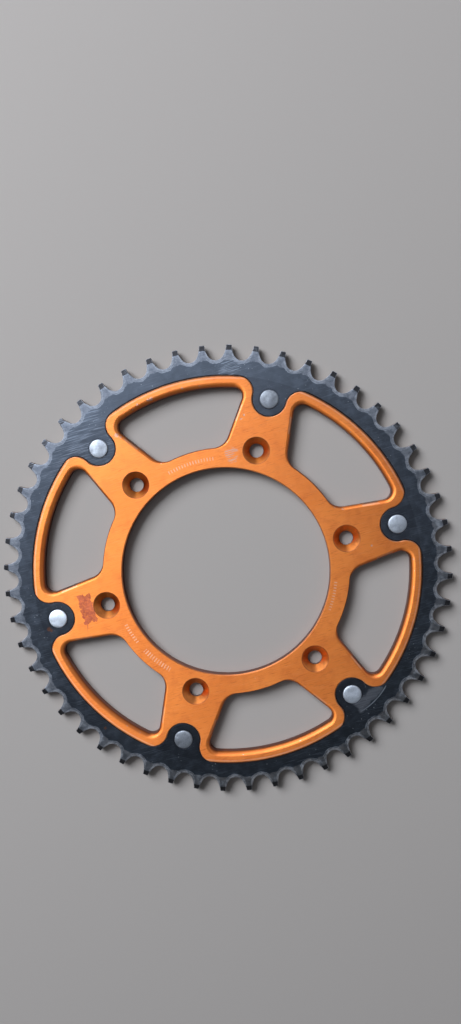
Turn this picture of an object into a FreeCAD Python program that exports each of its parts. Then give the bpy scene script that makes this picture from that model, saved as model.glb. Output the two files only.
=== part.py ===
import FreeCAD, Part
import math
import os
import Sketcher

# Two-piece rear chain sprocket for a motorcycle.
#
# A light aluminium carrier bolts to the wheel hub and a steel toothed ring
# is riveted round it.  The carrier keeps a full-round flange behind the
# joint; six ears of the ring drop into six scallops cut in the carrier's
# front half, lie on that flange and are held by one steel rivet each.
#
# Frame: millimetres, origin on the sprocket's axis in the plane of the back
# (hub side) face, +Z along the axis towards the front (outer) face, +X
# through the first rivet.  Arms, rivets and hub bolts sit at 0, 60, 120 ...
# degrees, windows at 30, 90, 150 ... degrees.

doc = FreeCAD.newDocument("rear_sprocket")
V = FreeCAD.Vector

# ---------------------------------------------------------------- dimensions
sheet = doc.addObject("Spreadsheet::Sheet", "dims")
sheet.Label = "dims"

DIMS = [
    # overall
    ("arm_count", 6),
    ("carrier_thickness", 7.0),
    ("flange_thickness", 3.0),
    ("carrier_radius", 117.0),
    ("carrier_edge_chamfer", 0.5),
    ("bore_radius", 62.5),
    ("bore_chamfer", 0.6),
    # hub bolts, countersunk from the front
    ("bolt_circle_radius", 75.0),
    ("bolt_hole_diameter", 8.4),
    ("bolt_sink_diameter", 16.0),
    ("bolt_sink_angle", 90.0),
    # rivets and the scallops for the ring's ears
    ("rivet_circle_radius", 106.16),
    ("scallop_radius", 10.25),
    ("lobe_radius", 9.3),
    ("lobe_centre_radius", 107.8),
    ("cut_reach_radius", 121.0),
    ("ear_gap", 0.2),
    ("rivet_hole_diameter", 8.1),
    ("rivet_sink_diameter", 11.4),
    ("rivet_sink_angle", 90.0),
    ("rivet_spot_radius", 6.2),
    ("rivet_spot_depth", 0.3),
    # windows: outline at the front face, on the bevel's knee and of the wall
    ("win_top_outer", 113.0),
    ("win_top_inner", 73.9),
    ("win_top_side_dist", 25.91),
    ("win_top_side_angle", 6.87),
    ("win_top_outer_fillet", 7.5),
    ("win_top_inner_fillet", 11.0),
    ("win_mid_outer", 111.5),
    ("win_mid_inner", 74.25),
    ("win_mid_side_dist", 26.24),
    ("win_mid_side_angle", 6.28),
    ("win_mid_outer_fillet", 6.4),
    ("win_mid_inner_fillet", 10.8),
    ("win_low_outer", 110.35),
    ("win_low_inner", 74.7),
    ("win_low_side_dist", 26.65),
    ("win_low_side_angle", 6.0),
    ("win_low_outer_fillet", 5.2),
    ("win_low_inner_fillet", 10.4),
    ("win_bevel_drop_upper", 0.62),
    ("win_bevel_drop_lower", 2.34),
    # toothed ring
    ("ring_thickness", 6.0),
    ("ring_inner_radius", 117.15),
    ("ring_edge_chamfer", 0.3),
    ("tooth_count", 52),
    ("chain_pitch", 15.875),
    ("pitch_radius", 131.465),
    ("tip_radius", 135.6),
    ("tip_bevel_start", 132.2),
    ("tip_bevel_angle", 27.0),
    ("seat_radius", 5.2),
    ("first_gullet_angle", 0.59),
    # rivets
    ("rivet_shank_radius", 4.0),
    ("rivet_tail_radius", 5.6),
    ("rivet_tail_depth", 1.6),
    ("rivet_head_radius", 5.65),
    ("rivet_head_under", 5.7),
    ("rivet_head_side_top", 6.25),
    ("rivet_head_round", 0.4),
    ("rivet_head_top", 6.95),
]
D = {}
for row, (alias, value) in enumerate(DIMS, start=1):
    sheet.set("A%d" % row, alias)
    sheet.set("B%d" % row, str(value))
    sheet.setAlias("B%d" % row, alias)
    D[alias] = float(value)
doc.recompute()


# ------------------------------------------------------------------- helpers
def new_body(name):
    body = doc.addObject("PartDesign::Body", name)
    body.Label = name
    body.Placement = FreeCAD.Placement(V(0, 0, 0), FreeCAD.Rotation())
    return body


def origin_part(body, role):
    for item in body.Origin.OriginFeatures:
        if item.Role == role:
            return item
    raise RuntimeError("no origin element " + role)


def new_sketch(body, name, plane, lift=None, turn=None):
    """Sketch on one of the body's own origin planes, raised or turned by sheet cells."""
    sk = body.newObject("Sketcher::SketchObject", name)
    sk.AttachmentSupport = [(origin_part(body, plane), "")]
    sk.MapMode = "FlatFace"
    if lift:
        sk.setExpression(".AttachmentOffset.Base.z", lift)
    if turn:
        sk.setExpression(".AttachmentOffset.Rotation.Angle", turn)
    doc.recompute()
    return sk


def dimension(sk, constraint, name, expression):
    """Add a driving dimension to a sketch and tie it to the sheet."""
    index = sk.addConstraint(constraint)
    sk.renameConstraint(index, name)
    sk.setExpression("Constraints." + name, expression)
    return index


def circle(sk, radius, name, expression, x=0.0, x_expression=None):
    g = sk.addGeometry(Part.Circle(V(x, 0, 0), V(0, 0, 1), radius), False)
    if x_expression is None:
        sk.addConstraint(Sketcher.Constraint("Coincident", g, 3, -1, 1))
    else:
        sk.addConstraint(Sketcher.Constraint("PointOnObject", g, 3, -1))
        dimension(sk, Sketcher.Constraint("DistanceX", -1, 1, g, 3, x), name + "_at", x_expression)
    dimension(sk, Sketcher.Constraint("Radius", g, radius), name, expression)
    return g


def arc3(a, b, c):
    return Part.Arc(V(a[0], a[1], 0), V(b[0], b[1], 0), V(c[0], c[1], 0))


def add_pad(body, sk, name, length):
    f = body.newObject("PartDesign::Pad", name)
    f.Profile = sk
    f.setExpression("Length", length)
    body.Tip = f
    doc.recompute()
    return f


def add_pocket(body, sk, name, length=None, towards_plus_z=False):
    before = body.Shape.Volume
    f = body.newObject("PartDesign::Pocket", name)
    f.Profile = sk
    if length is None:
        f.Type = 1
    else:
        f.setExpression("Length", length)
    f.Reversed = towards_plus_z
    body.Tip = f
    doc.recompute()
    if not body.Shape.Volume < before - 1e-3:
        raise RuntimeError(name + " cuts nothing")
    return f


def add_pattern(body, originals, name, count):
    f = body.newObject("PartDesign::PolarPattern", name)
    f.Originals = originals
    f.Axis = (origin_part(body, "Z_Axis"), [""])
    f.Angle = 360
    f.setExpression("Occurrences", count)
    body.Tip = f
    doc.recompute()
    return f


def edges_where(shape, test):
    names = []
    for i, edge in enumerate(shape.Edges, start=1):
        if test(edge):
            names.append("Edge%d" % i)
    return names


def add_chamfer(body, base, names, name, size):
    if not names:
        raise RuntimeError(name + " found no edges")
    before = body.Shape.Volume
    f = body.newObject("PartDesign::Chamfer", name)
    f.Base = (base, names)
    f.setExpression("Size", size)
    body.Tip = f
    doc.recompute()
    if not body.Shape.Volume < before - 1e-3:
        raise RuntimeError(name + " cuts nothing")
    return f


def on_height(edge, z, tol=1e-4):
    return all(abs(edge.valueAt(edge.FirstParameter + k * (edge.LastParameter - edge.FirstParameter) / 4.0).z - z) < tol
               for k in range(5))


def mean_radius(edge):
    p = edge.valueAt(0.5 * (edge.FirstParameter + edge.LastParameter))
    return math.hypot(p.x, p.y)


# Outline shared by the scallop of the carrier and the ear of the ring: an arc
# round the rivet that flows through a reverse curve into the round corner of
# the neighbouring lobes, closed beyond the joint circle.
def ear_outline(sk, r_ear, r_lobe, exprs):
    cr, lc, reach = D["rivet_circle_radius"], D["lobe_centre_radius"], D["cut_reach_radius"]
    gap = r_ear + r_lobe
    th = math.acos((cr * cr + lc * lc - gap * gap) / (2 * cr * lc))
    p = (cr, 0.0)
    c1 = (lc * math.cos(th), lc * math.sin(th))
    c2 = (c1[0], -c1[1])
    k = r_ear / gap
    t1 = (p[0] + (c1[0] - p[0]) * k, p[1] + (c1[1] - p[1]) * k)
    t2 = (t1[0], -t1[1])
    e1 = ((lc + r_lobe) * math.cos(th), (lc + r_lobe) * math.sin(th))
    e2 = (e1[0], -e1[1])
    f1 = (reach * math.cos(th), reach * math.sin(th))
    f2 = (f1[0], -f1[1])
    # middle of the corner arc
    a0 = math.atan2(t1[1] - c1[1], t1[0] - c1[0])
    a1 = math.atan2(e1[1] - c1[1], e1[0] - c1[0])
    am = 0.5 * (a0 + a1)
    m1 = (c1[0] + r_lobe * math.cos(am), c1[1] + r_lobe * math.sin(am))
    m2 = (m1[0], -m1[1])
    g_ear = sk.addGeometry(arc3(t1, (cr - r_ear, 0.0), t2), False)
    g_c1 = sk.addGeometry(arc3(t1, m1, e1), False)
    g_c2 = sk.addGeometry(arc3(t2, m2, e2), False)
    g_l1 = sk.addGeometry(Part.LineSegment(V(e1[0], e1[1], 0), V(f1[0], f1[1], 0)), False)
    g_l2 = sk.addGeometry(Part.LineSegment(V(e2[0], e2[1], 0), V(f2[0], f2[1], 0)), False)
    g_out = sk.addGeometry(arc3(f2, (reach, 0.0), f1), False)

    def end_near(g, pt):
        s = sk.getPoint(g, 1)
        return 1 if math.hypot(s.x - pt[0], s.y - pt[1]) < 1e-6 else 2

    add = sk.addConstraint
    C = Sketcher.Constraint
    add(C("Tangent", g_ear, end_near(g_ear, t1), g_c1, end_near(g_c1, t1)))
    add(C("Tangent", g_ear, end_near(g_ear, t2), g_c2, end_near(g_c2, t2)))
    add(C("Coincident", g_c1, end_near(g_c1, e1), g_l1, 1))
    add(C("Coincident", g_c2, end_near(g_c2, e2), g_l2, 1))
    add(C("Coincident", g_l1, 2, g_out, end_near(g_out, f1)))
    add(C("Coincident", g_l2, 2, g_out, end_near(g_out, f2)))
    add(C("PointOnObject", g_ear, 3, -1))
    add(C("Coincident", g_out, 3, -1, 1))
    # the closing lines are radial: their carriers pass through the axis
    add(C("PointOnObject", -1, 1, g_l1))
    add(C("PointOnObject", -1, 1, g_l2))
    add(C("PointOnObject", g_c1, 3, g_l1))
    add(C("PointOnObject", g_c2, 3, g_l2))
    add(C("Equal", g_c1, g_c2))
    dimension(sk, C("DistanceX", -1, 1, g_ear, 3, cr), "rivet_at", "dims.rivet_circle_radius")
    dimension(sk, C("Radius", g_ear, r_ear), "ear_radius", exprs[0])
    dimension(sk, C("Radius", g_c1, r_lobe), "lobe_corner", exprs[1])
    dimension(sk, C("Radius", g_out, reach), "reach", "dims.cut_reach_radius")
    dimension(sk, C("Distance", -1, 1, g_c1, 3, lc), "lobe_centre", "dims.lobe_centre_radius")
    dimension(sk, C("Distance", -1, 1, g_c2, 3, lc), "lobe_centre_b", "dims.lobe_centre_radius")


# Window outline, symmetric about the sketch's X axis: outer and inner arcs
# about the sprocket's axis, two straight sides next to the arms, four round
# corners.  key is win_top, win_mid or win_low.
def window_outline(sk, key):
    ro, ri = D[key + "_outer"], D[key + "_inner"]
    dist, tilt = D[key + "_side_dist"], math.radians(D[key + "_side_angle"])
    fo, fi = D[key + "_outer_fillet"], D[key + "_inner_fillet"]
    half = math.pi / D["arm_count"]
    # the upper side runs beside the arm at +half; u is its direction (outwards),
    # n points from it towards the window's middle
    ang = half + tilt
    u = (math.cos(ang), math.sin(ang))
    n = (math.sin(ang), -math.cos(ang))

    def centre(rad, off):
        # point on the line at distance off inside the side, at radius rad
        d = dist + off
        a = math.sqrt(rad * rad - d * d)
        return (n[0] * d + u[0] * a, n[1] * d + u[1] * a)

    co = centre(ro - fo, fo)
    ci = centre(ri + fi, fi)
    to_line = (co[0] - n[0] * fo, co[1] - n[1] * fo)
    ti_line = (ci[0] - n[0] * fi, ci[1] - n[1] * fi)
    so, si = ro / math.hypot(*co), ri / math.hypot(*ci)
    to_arc = (co[0] * so, co[1] * so)
    ti_arc = (ci[0] * si, ci[1] * si)

    def mid(c, r, p, q):
        v = (p[0] - c[0] + q[0] - c[0], p[1] - c[1] + q[1] - c[1])
        k = r / math.hypot(*v)
        return (c[0] + v[0] * k, c[1] + v[1] * k)

    mo, mi = mid(co, fo, to_line, to_arc), mid(ci, fi, ti_line, ti_arc)

    def dn(p):
        return (p[0], -p[1])

    ln = lambda p, q: Part.LineSegment(V(p[0], p[1], 0), V(q[0], q[1], 0))
    g = [
        sk.addGeometry(arc3(dn(to_arc), (ro, 0.0), to_arc), False),      # 0 outer arc
        sk.addGeometry(arc3(to_arc, mo, to_line), False),                # 1 upper outer corner
        sk.addGeometry(ln(to_line, ti_line), False),                     # 2 upper side
        sk.addGeometry(arc3(ti_line, mi, ti_arc), False),                # 3 upper inner corner
        sk.addGeometry(arc3(dn(ti_arc), (ri, 0.0), ti_arc), False),      # 4 inner arc
        sk.addGeometry(arc3(dn(ti_line), dn(mi), dn(ti_arc)), False),    # 5 lower inner corner
        sk.addGeometry(ln(dn(to_line), dn(ti_line)), False),             # 6 lower side
        sk.addGeometry(arc3(dn(to_arc), dn(mo), dn(to_line)), False),    # 7 lower outer corner
    ]

    def end_near(gi, pt):
        s = sk.getPoint(gi, 1)
        return 1 if math.hypot(s.x - pt[0], s.y - pt[1]) < 1e-6 else 2

    C = Sketcher.Constraint
    for a, b, pt in [(0, 1, to_arc), (1, 2, to_line), (2, 3, ti_line), (3, 4, ti_arc),
                     (4, 5, dn(ti_arc)), (5, 6, dn(ti_line)), (6, 7, dn(to_line)), (7, 0, dn(to_arc))]:
        sk.addConstraint(C("Tangent", g[a], end_near(g[a], pt), g[b], end_near(g[b], pt)))
    sk.addConstraint(C("Coincident", g[0], 3, -1, 1))
    sk.addConstraint(C("Coincident", g[4], 3, -1, 1))
    sk.addConstraint(C("Equal", g[1], g[7]))
    sk.addConstraint(C("Equal", g[3], g[5]))
    sk.addConstraint(C("Symmetric", g[1], end_near(g[1], to_line), g[7], end_near(g[7], dn(to_line)), -1))
    dimension(sk, C("Radius", g[0], ro), "outer_arc", "dims." + key + "_outer")
    dimension(sk, C("Radius", g[4], ri), "inner_arc", "dims." + key + "_inner")
    dimension(sk, C("Radius", g[1], fo), "outer_corner", "dims." + key + "_outer_fillet")
    dimension(sk, C("Radius", g[3], fi), "inner_corner", "dims." + key + "_inner_fillet")
    dimension(sk, C("Distance", -1, 1, g[2], dist), "side_offset", "dims." + key + "_side_dist")


# ------------------------------------------------------------------- carrier
carrier = new_body("carrier")
half_step = "180 / dims.arm_count"

sk = new_sketch(carrier, "carrier_disc", "XY_Plane")
circle(sk, D["carrier_radius"], "rim", "dims.carrier_radius")
circle(sk, D["bore_radius"], "bore", "dims.bore_radius")
pad = add_pad(carrier, sk, "carrier_plate", "dims.carrier_thickness")

edges = edges_where(pad.Shape, lambda e: abs(mean_radius(e) - D["bore_radius"]) < 1e-4
                    and (on_height(e, 0.0) or on_height(e, D["carrier_thickness"])))
bore_cut = add_chamfer(carrier, pad, edges, "bore_edges", "dims.bore_chamfer")
edges = edges_where(bore_cut.Shape, lambda e: abs(mean_radius(e) - D["carrier_radius"]) < 1e-4
                    and (on_height(e, 0.0) or on_height(e, D["carrier_thickness"])))
rim_cut = add_chamfer(carrier, bore_cut, edges, "rim_edges", "dims.carrier_edge_chamfer")

# scallops for the ring's ears, cut from the front down to the flange
sk = new_sketch(carrier, "scallop", "XY_Plane", lift="dims.carrier_thickness")
ear_outline(sk, D["scallop_radius"], D["lobe_radius"], ("dims.scallop_radius", "dims.lobe_radius"))
scallop = add_pocket(carrier, sk, "scallop_cut", "dims.carrier_thickness - dims.flange_thickness")
scallops = add_pattern(carrier, [scallop], "scallops", "dims.arm_count")


def loft_between(body, kind, name, draw_a, lift_a, draw_b, lift_b, turn=None):
    """Ruled loft between two parallel outlines; kind is Additive or Subtractive."""
    sk_a = new_sketch(body, name + "_upper", "XY_Plane", lift=lift_a, turn=turn)
    draw_a(sk_a)
    sk_b = new_sketch(body, name + "_lower", "XY_Plane", lift=lift_b, turn=turn)
    draw_b(sk_b)
    before = body.Shape.Volume
    f = body.newObject("PartDesign::%sLoft" % kind, name)
    f.Profile = sk_a
    f.Sections = [sk_b]
    f.Ruled = True
    body.Tip = f
    doc.recompute()
    change = body.Shape.Volume - before
    if (kind == "Subtractive" and not change < -1e-3) or (kind == "Additive" and not change > 1e-3):
        raise RuntimeError(name + " changes nothing")
    return f


def scallop_at(grow, cell):
    def draw(sk):
        ear_outline(sk, D["scallop_radius"] + grow, D["lobe_radius"] - grow,
                    ("dims.scallop_radius" + cell, "dims.lobe_radius" + cell.replace("+", "-")))
    return draw


# broken edge along scallops and lobe corners
ec = D["carrier_edge_chamfer"]
edge_loft = loft_between(carrier, "Subtractive", "scallop_edge",
                         scallop_at(ec, " + dims.carrier_edge_chamfer"), "dims.carrier_thickness",
                         scallop_at(0.0, ""), "dims.carrier_thickness - dims.carrier_edge_chamfer")
scallop_edges = add_pattern(carrier, [edge_loft], "scallop_edges", "dims.arm_count")

# windows between the arms: straight wall, then a two-step bevel whose width
# grows from the hub side to the rim
sk = new_sketch(carrier, "window_wall", "XY_Plane", turn=half_step)
window_outline(sk, "win_low")
window = add_pocket(carrier, sk, "window_cut", None, towards_plus_z=True)
windows = add_pattern(carrier, [window], "windows", "dims.arm_count")


bevel_a = loft_between(carrier, "Subtractive", "bevel_outer",
                       lambda k: window_outline(k, "win_top"), "dims.carrier_thickness",
                       lambda k: window_outline(k, "win_mid"), "dims.carrier_thickness - dims.win_bevel_drop_upper",
                       turn=half_step)
bevels_a = add_pattern(carrier, [bevel_a], "bevels_outer", "dims.arm_count")
bevel_b = loft_between(carrier, "Subtractive", "bevel_inner",
                       lambda k: window_outline(k, "win_mid"), "dims.carrier_thickness - dims.win_bevel_drop_upper",
                       lambda k: window_outline(k, "win_low"),
                       "dims.carrier_thickness - dims.win_bevel_drop_upper - dims.win_bevel_drop_lower",
                       turn=half_step)
bevels_b = add_pattern(carrier, [bevel_b], "bevels_inner", "dims.arm_count")

# hub bolt holes, countersunk from the front
sk = new_sketch(carrier, "bolt_place", "XY_Plane", lift="dims.carrier_thickness")
circle(sk, D["bolt_hole_diameter"] / 2, "hole", "dims.bolt_hole_diameter / 2",
       x=D["bolt_circle_radius"], x_expression="dims.bolt_circle_radius")
doc.recompute()
before = carrier.Shape.Volume
bolt_hole = carrier.newObject("PartDesign::Hole", "bolt_hole")
bolt_hole.Profile = sk
bolt_hole.Threaded = False
bolt_hole.DepthType = "ThroughAll"
bolt_hole.setExpression("Diameter", "dims.bolt_hole_diameter")
bolt_hole.HoleCutType = "Countersink"
bolt_hole.HoleCutCustomValues = True
bolt_hole.setExpression("HoleCutDiameter", "dims.bolt_sink_diameter")
bolt_hole.setExpression("HoleCutCountersinkAngle", "dims.bolt_sink_angle")
carrier.Tip = bolt_hole
doc.recompute()
print("bolt hole cut", before - carrier.Shape.Volume)
bolt_holes = add_pattern(carrier, [bolt_hole], "bolt_holes", "dims.arm_count")

# rivet holes through the flange, countersunk at the back for the rivet's tail
sk = new_sketch(carrier, "rivet_profile", "XZ_Plane")
cr = D["rivet_circle_radius"]
rh = D["rivet_hole_diameter"] / 2
rs = D["rivet_sink_diameter"] / 2
ft = D["flange_thickness"]
pts = [(cr, 0.0), (cr + rs, 0.0), (cr + rh, rs - rh), (cr + rh, ft + 1.0), (cr, ft + 1.0)]
gs = [sk.addGeometry(Part.LineSegment(V(*pts[i], 0), V(*pts[(i + 1) % 5], 0)), False) for i in range(5)]
C = Sketcher.Constraint
for i in range(5):
    sk.addConstraint(C("Coincident", gs[i], 2, gs[(i + 1) % 5], 1))
sk.addConstraint(C("PointOnObject", gs[0], 1, -1))
sk.addConstraint(C("Horizontal", gs[0]))
sk.addConstraint(C("Vertical", gs[2]))
sk.addConstraint(C("Horizontal", gs[3]))
sk.addConstraint(C("Vertical", gs[4]))
dimension(sk, C("DistanceX", -1, 1, gs[0], 1, cr), "rivet_at", "dims.rivet_circle_radius")
dimension(sk, C("DistanceX", gs[0], 1, gs[0], 2, rs), "sink", "dims.rivet_sink_diameter / 2")
dimension(sk, C("DistanceX", gs[4], 2, gs[2], 1, rh), "hole", "dims.rivet_hole_diameter / 2")
dimension(sk, C("DistanceY", gs[0], 2, gs[1], 2, rs - rh), "sink_depth",
          "(dims.rivet_sink_diameter - dims.rivet_hole_diameter) / 2")
dimension(sk, C("DistanceY", gs[4], 2, gs[4], 1, ft + 1.0), "reach", "dims.flange_thickness + 1")
doc.recompute()
before = carrier.Shape.Volume
rivet_hole = carrier.newObject("PartDesign::Groove", "rivet_hole")
rivet_hole.Profile = sk
rivet_hole.ReferenceAxis = (sk, ["Edge5"])
rivet_hole.Angle = 360
carrier.Tip = rivet_hole
doc.recompute()
print("rivet hole cut", before - carrier.Shape.Volume)
rivet_holes = add_pattern(carrier, [rivet_hole], "rivet_holes", "dims.arm_count")

# --------------------------------------------------------------- toothed ring
ring = new_body("tooth_ring")
sk = new_sketch(ring, "ring_disc", "XY_Plane")
circle(sk, D["tip_radius"], "tips", "dims.tip_radius")
circle(sk, D["ring_inner_radius"], "seat", "dims.ring_inner_radius")
ring_plate = add_pad(ring, sk, "ring_plate", "dims.ring_thickness")
edges = edges_where(ring_plate.Shape, lambda e: abs(mean_radius(e) - D["ring_inner_radius"]) < 1e-4)
edges = [n for n in edges if abs(ring_plate.Shape.getElement(n).BoundBox.ZLength) < 1e-6]
seat_cut = add_chamfer(ring, ring_plate, edges, "seat_edges", "dims.ring_edge_chamfer")

# bevels on both sides of the tooth tips
sk = new_sketch(ring, "tip_bevels", "XZ_Plane")
b0, rt = D["tip_bevel_start"], D["ring_thickness"]
b1 = D["tip_radius"] + 1.0
drop = (b1 - b0) * math.tan(math.radians(D["tip_bevel_angle"]))
for sgn, z0, tag in ((1, rt, "front"), (-1, 0.0, "back")):
    p = [(b0, z0), (b1, z0 - sgn * drop), (b1, z0)]
    g = [sk.addGeometry(Part.LineSegment(V(*p[i], 0), V(*p[(i + 1) % 3], 0)), False) for i in range(3)]
    for i in range(3):
        sk.addConstraint(C("Coincident", g[i], 2, g[(i + 1) % 3], 1))
    sk.addConstraint(C("Horizontal", g[2]))
    sk.addConstraint(C("Vertical", g[1]))
    dimension(sk, C("DistanceX", -1, 1, g[0], 1, b0), tag + "_start", "dims.tip_bevel_start")
    dimension(sk, C("DistanceX", g[2], 2, g[2], 1, b1 - b0), tag + "_width", "dims.tip_radius + 1 - dims.tip_bevel_start")
    if sgn > 0:
        dimension(sk, C("DistanceY", -1, 1, g[0], 1, rt), tag + "_face", "dims.ring_thickness")
        dimension(sk, C("DistanceY", g[1], 1, g[1], 2, drop), tag + "_drop",
                  "(dims.tip_radius + 1 - dims.tip_bevel_start) * tan(dims.tip_bevel_angle * 1 deg)")
    else:
        sk.addConstraint(C("PointOnObject", g[0], 1, -1))
        dimension(sk, C("DistanceY", g[1], 2, g[1], 1, drop), tag + "_drop",
                  "(dims.tip_radius + 1 - dims.tip_bevel_start) * tan(dims.tip_bevel_angle * 1 deg)")
doc.recompute()
before = ring.Shape.Volume
tip_bevel = ring.newObject("PartDesign::Groove", "tip_bevel")
tip_bevel.Profile = sk
tip_bevel.ReferenceAxis = (sk, ["V_Axis"])
tip_bevel.Angle = 360
ring.Tip = tip_bevel
doc.recompute()
print("tip bevel cut", before - ring.Shape.Volume)

# ears, on the front half of the ring's thickness, with a broken front edge
def ear_at(shrink, cell):
    def draw(sk):
        ear_outline(sk, D["scallop_radius"] - D["ear_gap"] - shrink, D["lobe_radius"] + D["ear_gap"] + shrink,
                    ("dims.scallop_radius - dims.ear_gap" + cell,
                     "dims.lobe_radius + dims.ear_gap" + cell.replace("-", "+")))
    return draw


sk = new_sketch(ring, "ear", "XY_Plane", lift="dims.flange_thickness")
ear_at(0.0, "")(sk)
ear = add_pad(ring, sk, "ear_pad", "dims.ring_thickness - dims.flange_thickness - dims.ring_edge_chamfer")
ears = add_pattern(ring, [ear], "ears", "dims.arm_count")
ear_top = loft_between(ring, "Additive", "ear_edge",
                       ear_at(D["ring_edge_chamfer"], " - dims.ring_edge_chamfer"), "dims.ring_thickness",
                       ear_at(0.0, ""), "dims.ring_thickness - dims.ring_edge_chamfer")
ear_tops = add_pattern(ring, [ear_top], "ear_edges", "dims.arm_count")

# rivet hole and spot face in every ear
sk = new_sketch(ring, "ear_hole_place", "XY_Plane", lift="dims.ring_thickness")
circle(sk, D["rivet_hole_diameter"] / 2, "hole", "dims.rivet_hole_diameter / 2",
       x=D["rivet_circle_radius"], x_expression="dims.rivet_circle_radius")
ear_hole = add_pocket(ring, sk, "ear_hole", None)
sk = new_sketch(ring, "ear_spot_place", "XY_Plane", lift="dims.ring_thickness")
circle(sk, D["rivet_spot_radius"], "spot", "dims.rivet_spot_radius",
       x=D["rivet_circle_radius"], x_expression="dims.rivet_circle_radius")
ear_spot = add_pocket(ring, sk, "ear_spot", "dims.rivet_spot_depth")
ear_holes = add_pattern(ring, [ear_hole, ear_spot], "ear_holes", "dims.arm_count")

# tooth gaps: roller seat, concave flanks and rounded tooth tips
sk = new_sketch(ring, "tooth_gap", "XY_Plane", turn="dims.first_gullet_angle")
pr, sr, tr = D["pitch_radius"], D["seat_radius"], D["tip_radius"]
half_pitch = math.pi / D["tooth_count"]
sa = math.radians(63.0)
s1 = (pr - sr * math.cos(sa), sr * math.sin(sa))          # end of the roller seat
s2 = (132.2, 6.0)                                         # on the flank
tip_half = 1.6                                            # half width of the tip land
land = half_pitch - (tip_half - 0.55) / tr                # angle where the tip rounding ends
s4 = (tr * math.cos(land), tr * math.sin(land))
s3 = (134.95, 6.52)                                       # flank meets the tip rounding
top = tr + 1.6
s5 = (top * math.cos(land), top * math.sin(land))
# tip rounding from s3 to s4 bulging into the gap's corner
mx, my = 0.5 * (s3[0] + s4[0]), 0.5 * (s3[1] + s4[1])
dx, dy = s4[0] - s3[0], s4[1] - s3[1]
ll = math.hypot(dx, dy)
nx, ny = dy / ll, -dx / ll
if nx * 1.0 + ny * (-1.0) < 0:
    nx, ny = -nx, -ny
sm = (mx + nx * 0.16, my + ny * 0.16)


def dnp(p):
    return (p[0], -p[1])


g_seat = sk.addGeometry(arc3(dnp(s1), (pr - sr, 0.0), s1), False)
g_f1 = sk.addGeometry(arc3(s1, s2, s3), False)
g_f2 = sk.addGeometry(arc3(dnp(s1), dnp(s2), dnp(s3)), False)
g_t1 = sk.addGeometry(arc3(s3, sm, s4), False)
g_t2 = sk.addGeometry(arc3(dnp(s3), dnp(sm), dnp(s4)), False)
g_u1 = sk.addGeometry(Part.LineSegment(V(s4[0], s4[1], 0), V(s5[0], s5[1], 0)), False)
g_u2 = sk.addGeometry(Part.LineSegment(V(s4[0], -s4[1], 0), V(s5[0], -s5[1], 0)), False)
g_top = sk.addGeometry(arc3(dnp(s5), (top, 0.0), s5), False)


def near(g, pt):
    q = sk.getPoint(g, 1)
    return 1 if math.hypot(q.x - pt[0], q.y - pt[1]) < 1e-6 else 2


for a, b, pt in [(g_seat, g_f1, s1), (g_seat, g_f2, dnp(s1)), (g_f1, g_t1, s3), (g_f2, g_t2, dnp(s3)),
                 (g_t1, g_u1, s4), (g_t2, g_u2, dnp(s4)), (g_u1, g_top, s5), (g_u2, g_top, dnp(s5))]:
    sk.addConstraint(C("Coincident", a, near(a, pt), b, near(b, pt)))
sk.addConstraint(C("PointOnObject", g_seat, 3, -1))
dimension(sk, C("Radius", g_seat, sr), "roller_seat", "dims.seat_radius")
dimension(sk, C("DistanceX", -1, 1, g_seat, 3, pr), "pitch_line", "dims.pitch_radius")
for g in (g_f1, g_f2, g_t1, g_t2, g_u1, g_u2, g_top):
    sk.addConstraint(C("Block", g))
gap = add_pocket(ring, sk, "tooth_gap_cut", None, towards_plus_z=True)
gaps = add_pattern(ring, [gap], "tooth_gaps", "dims.tooth_count")

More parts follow.
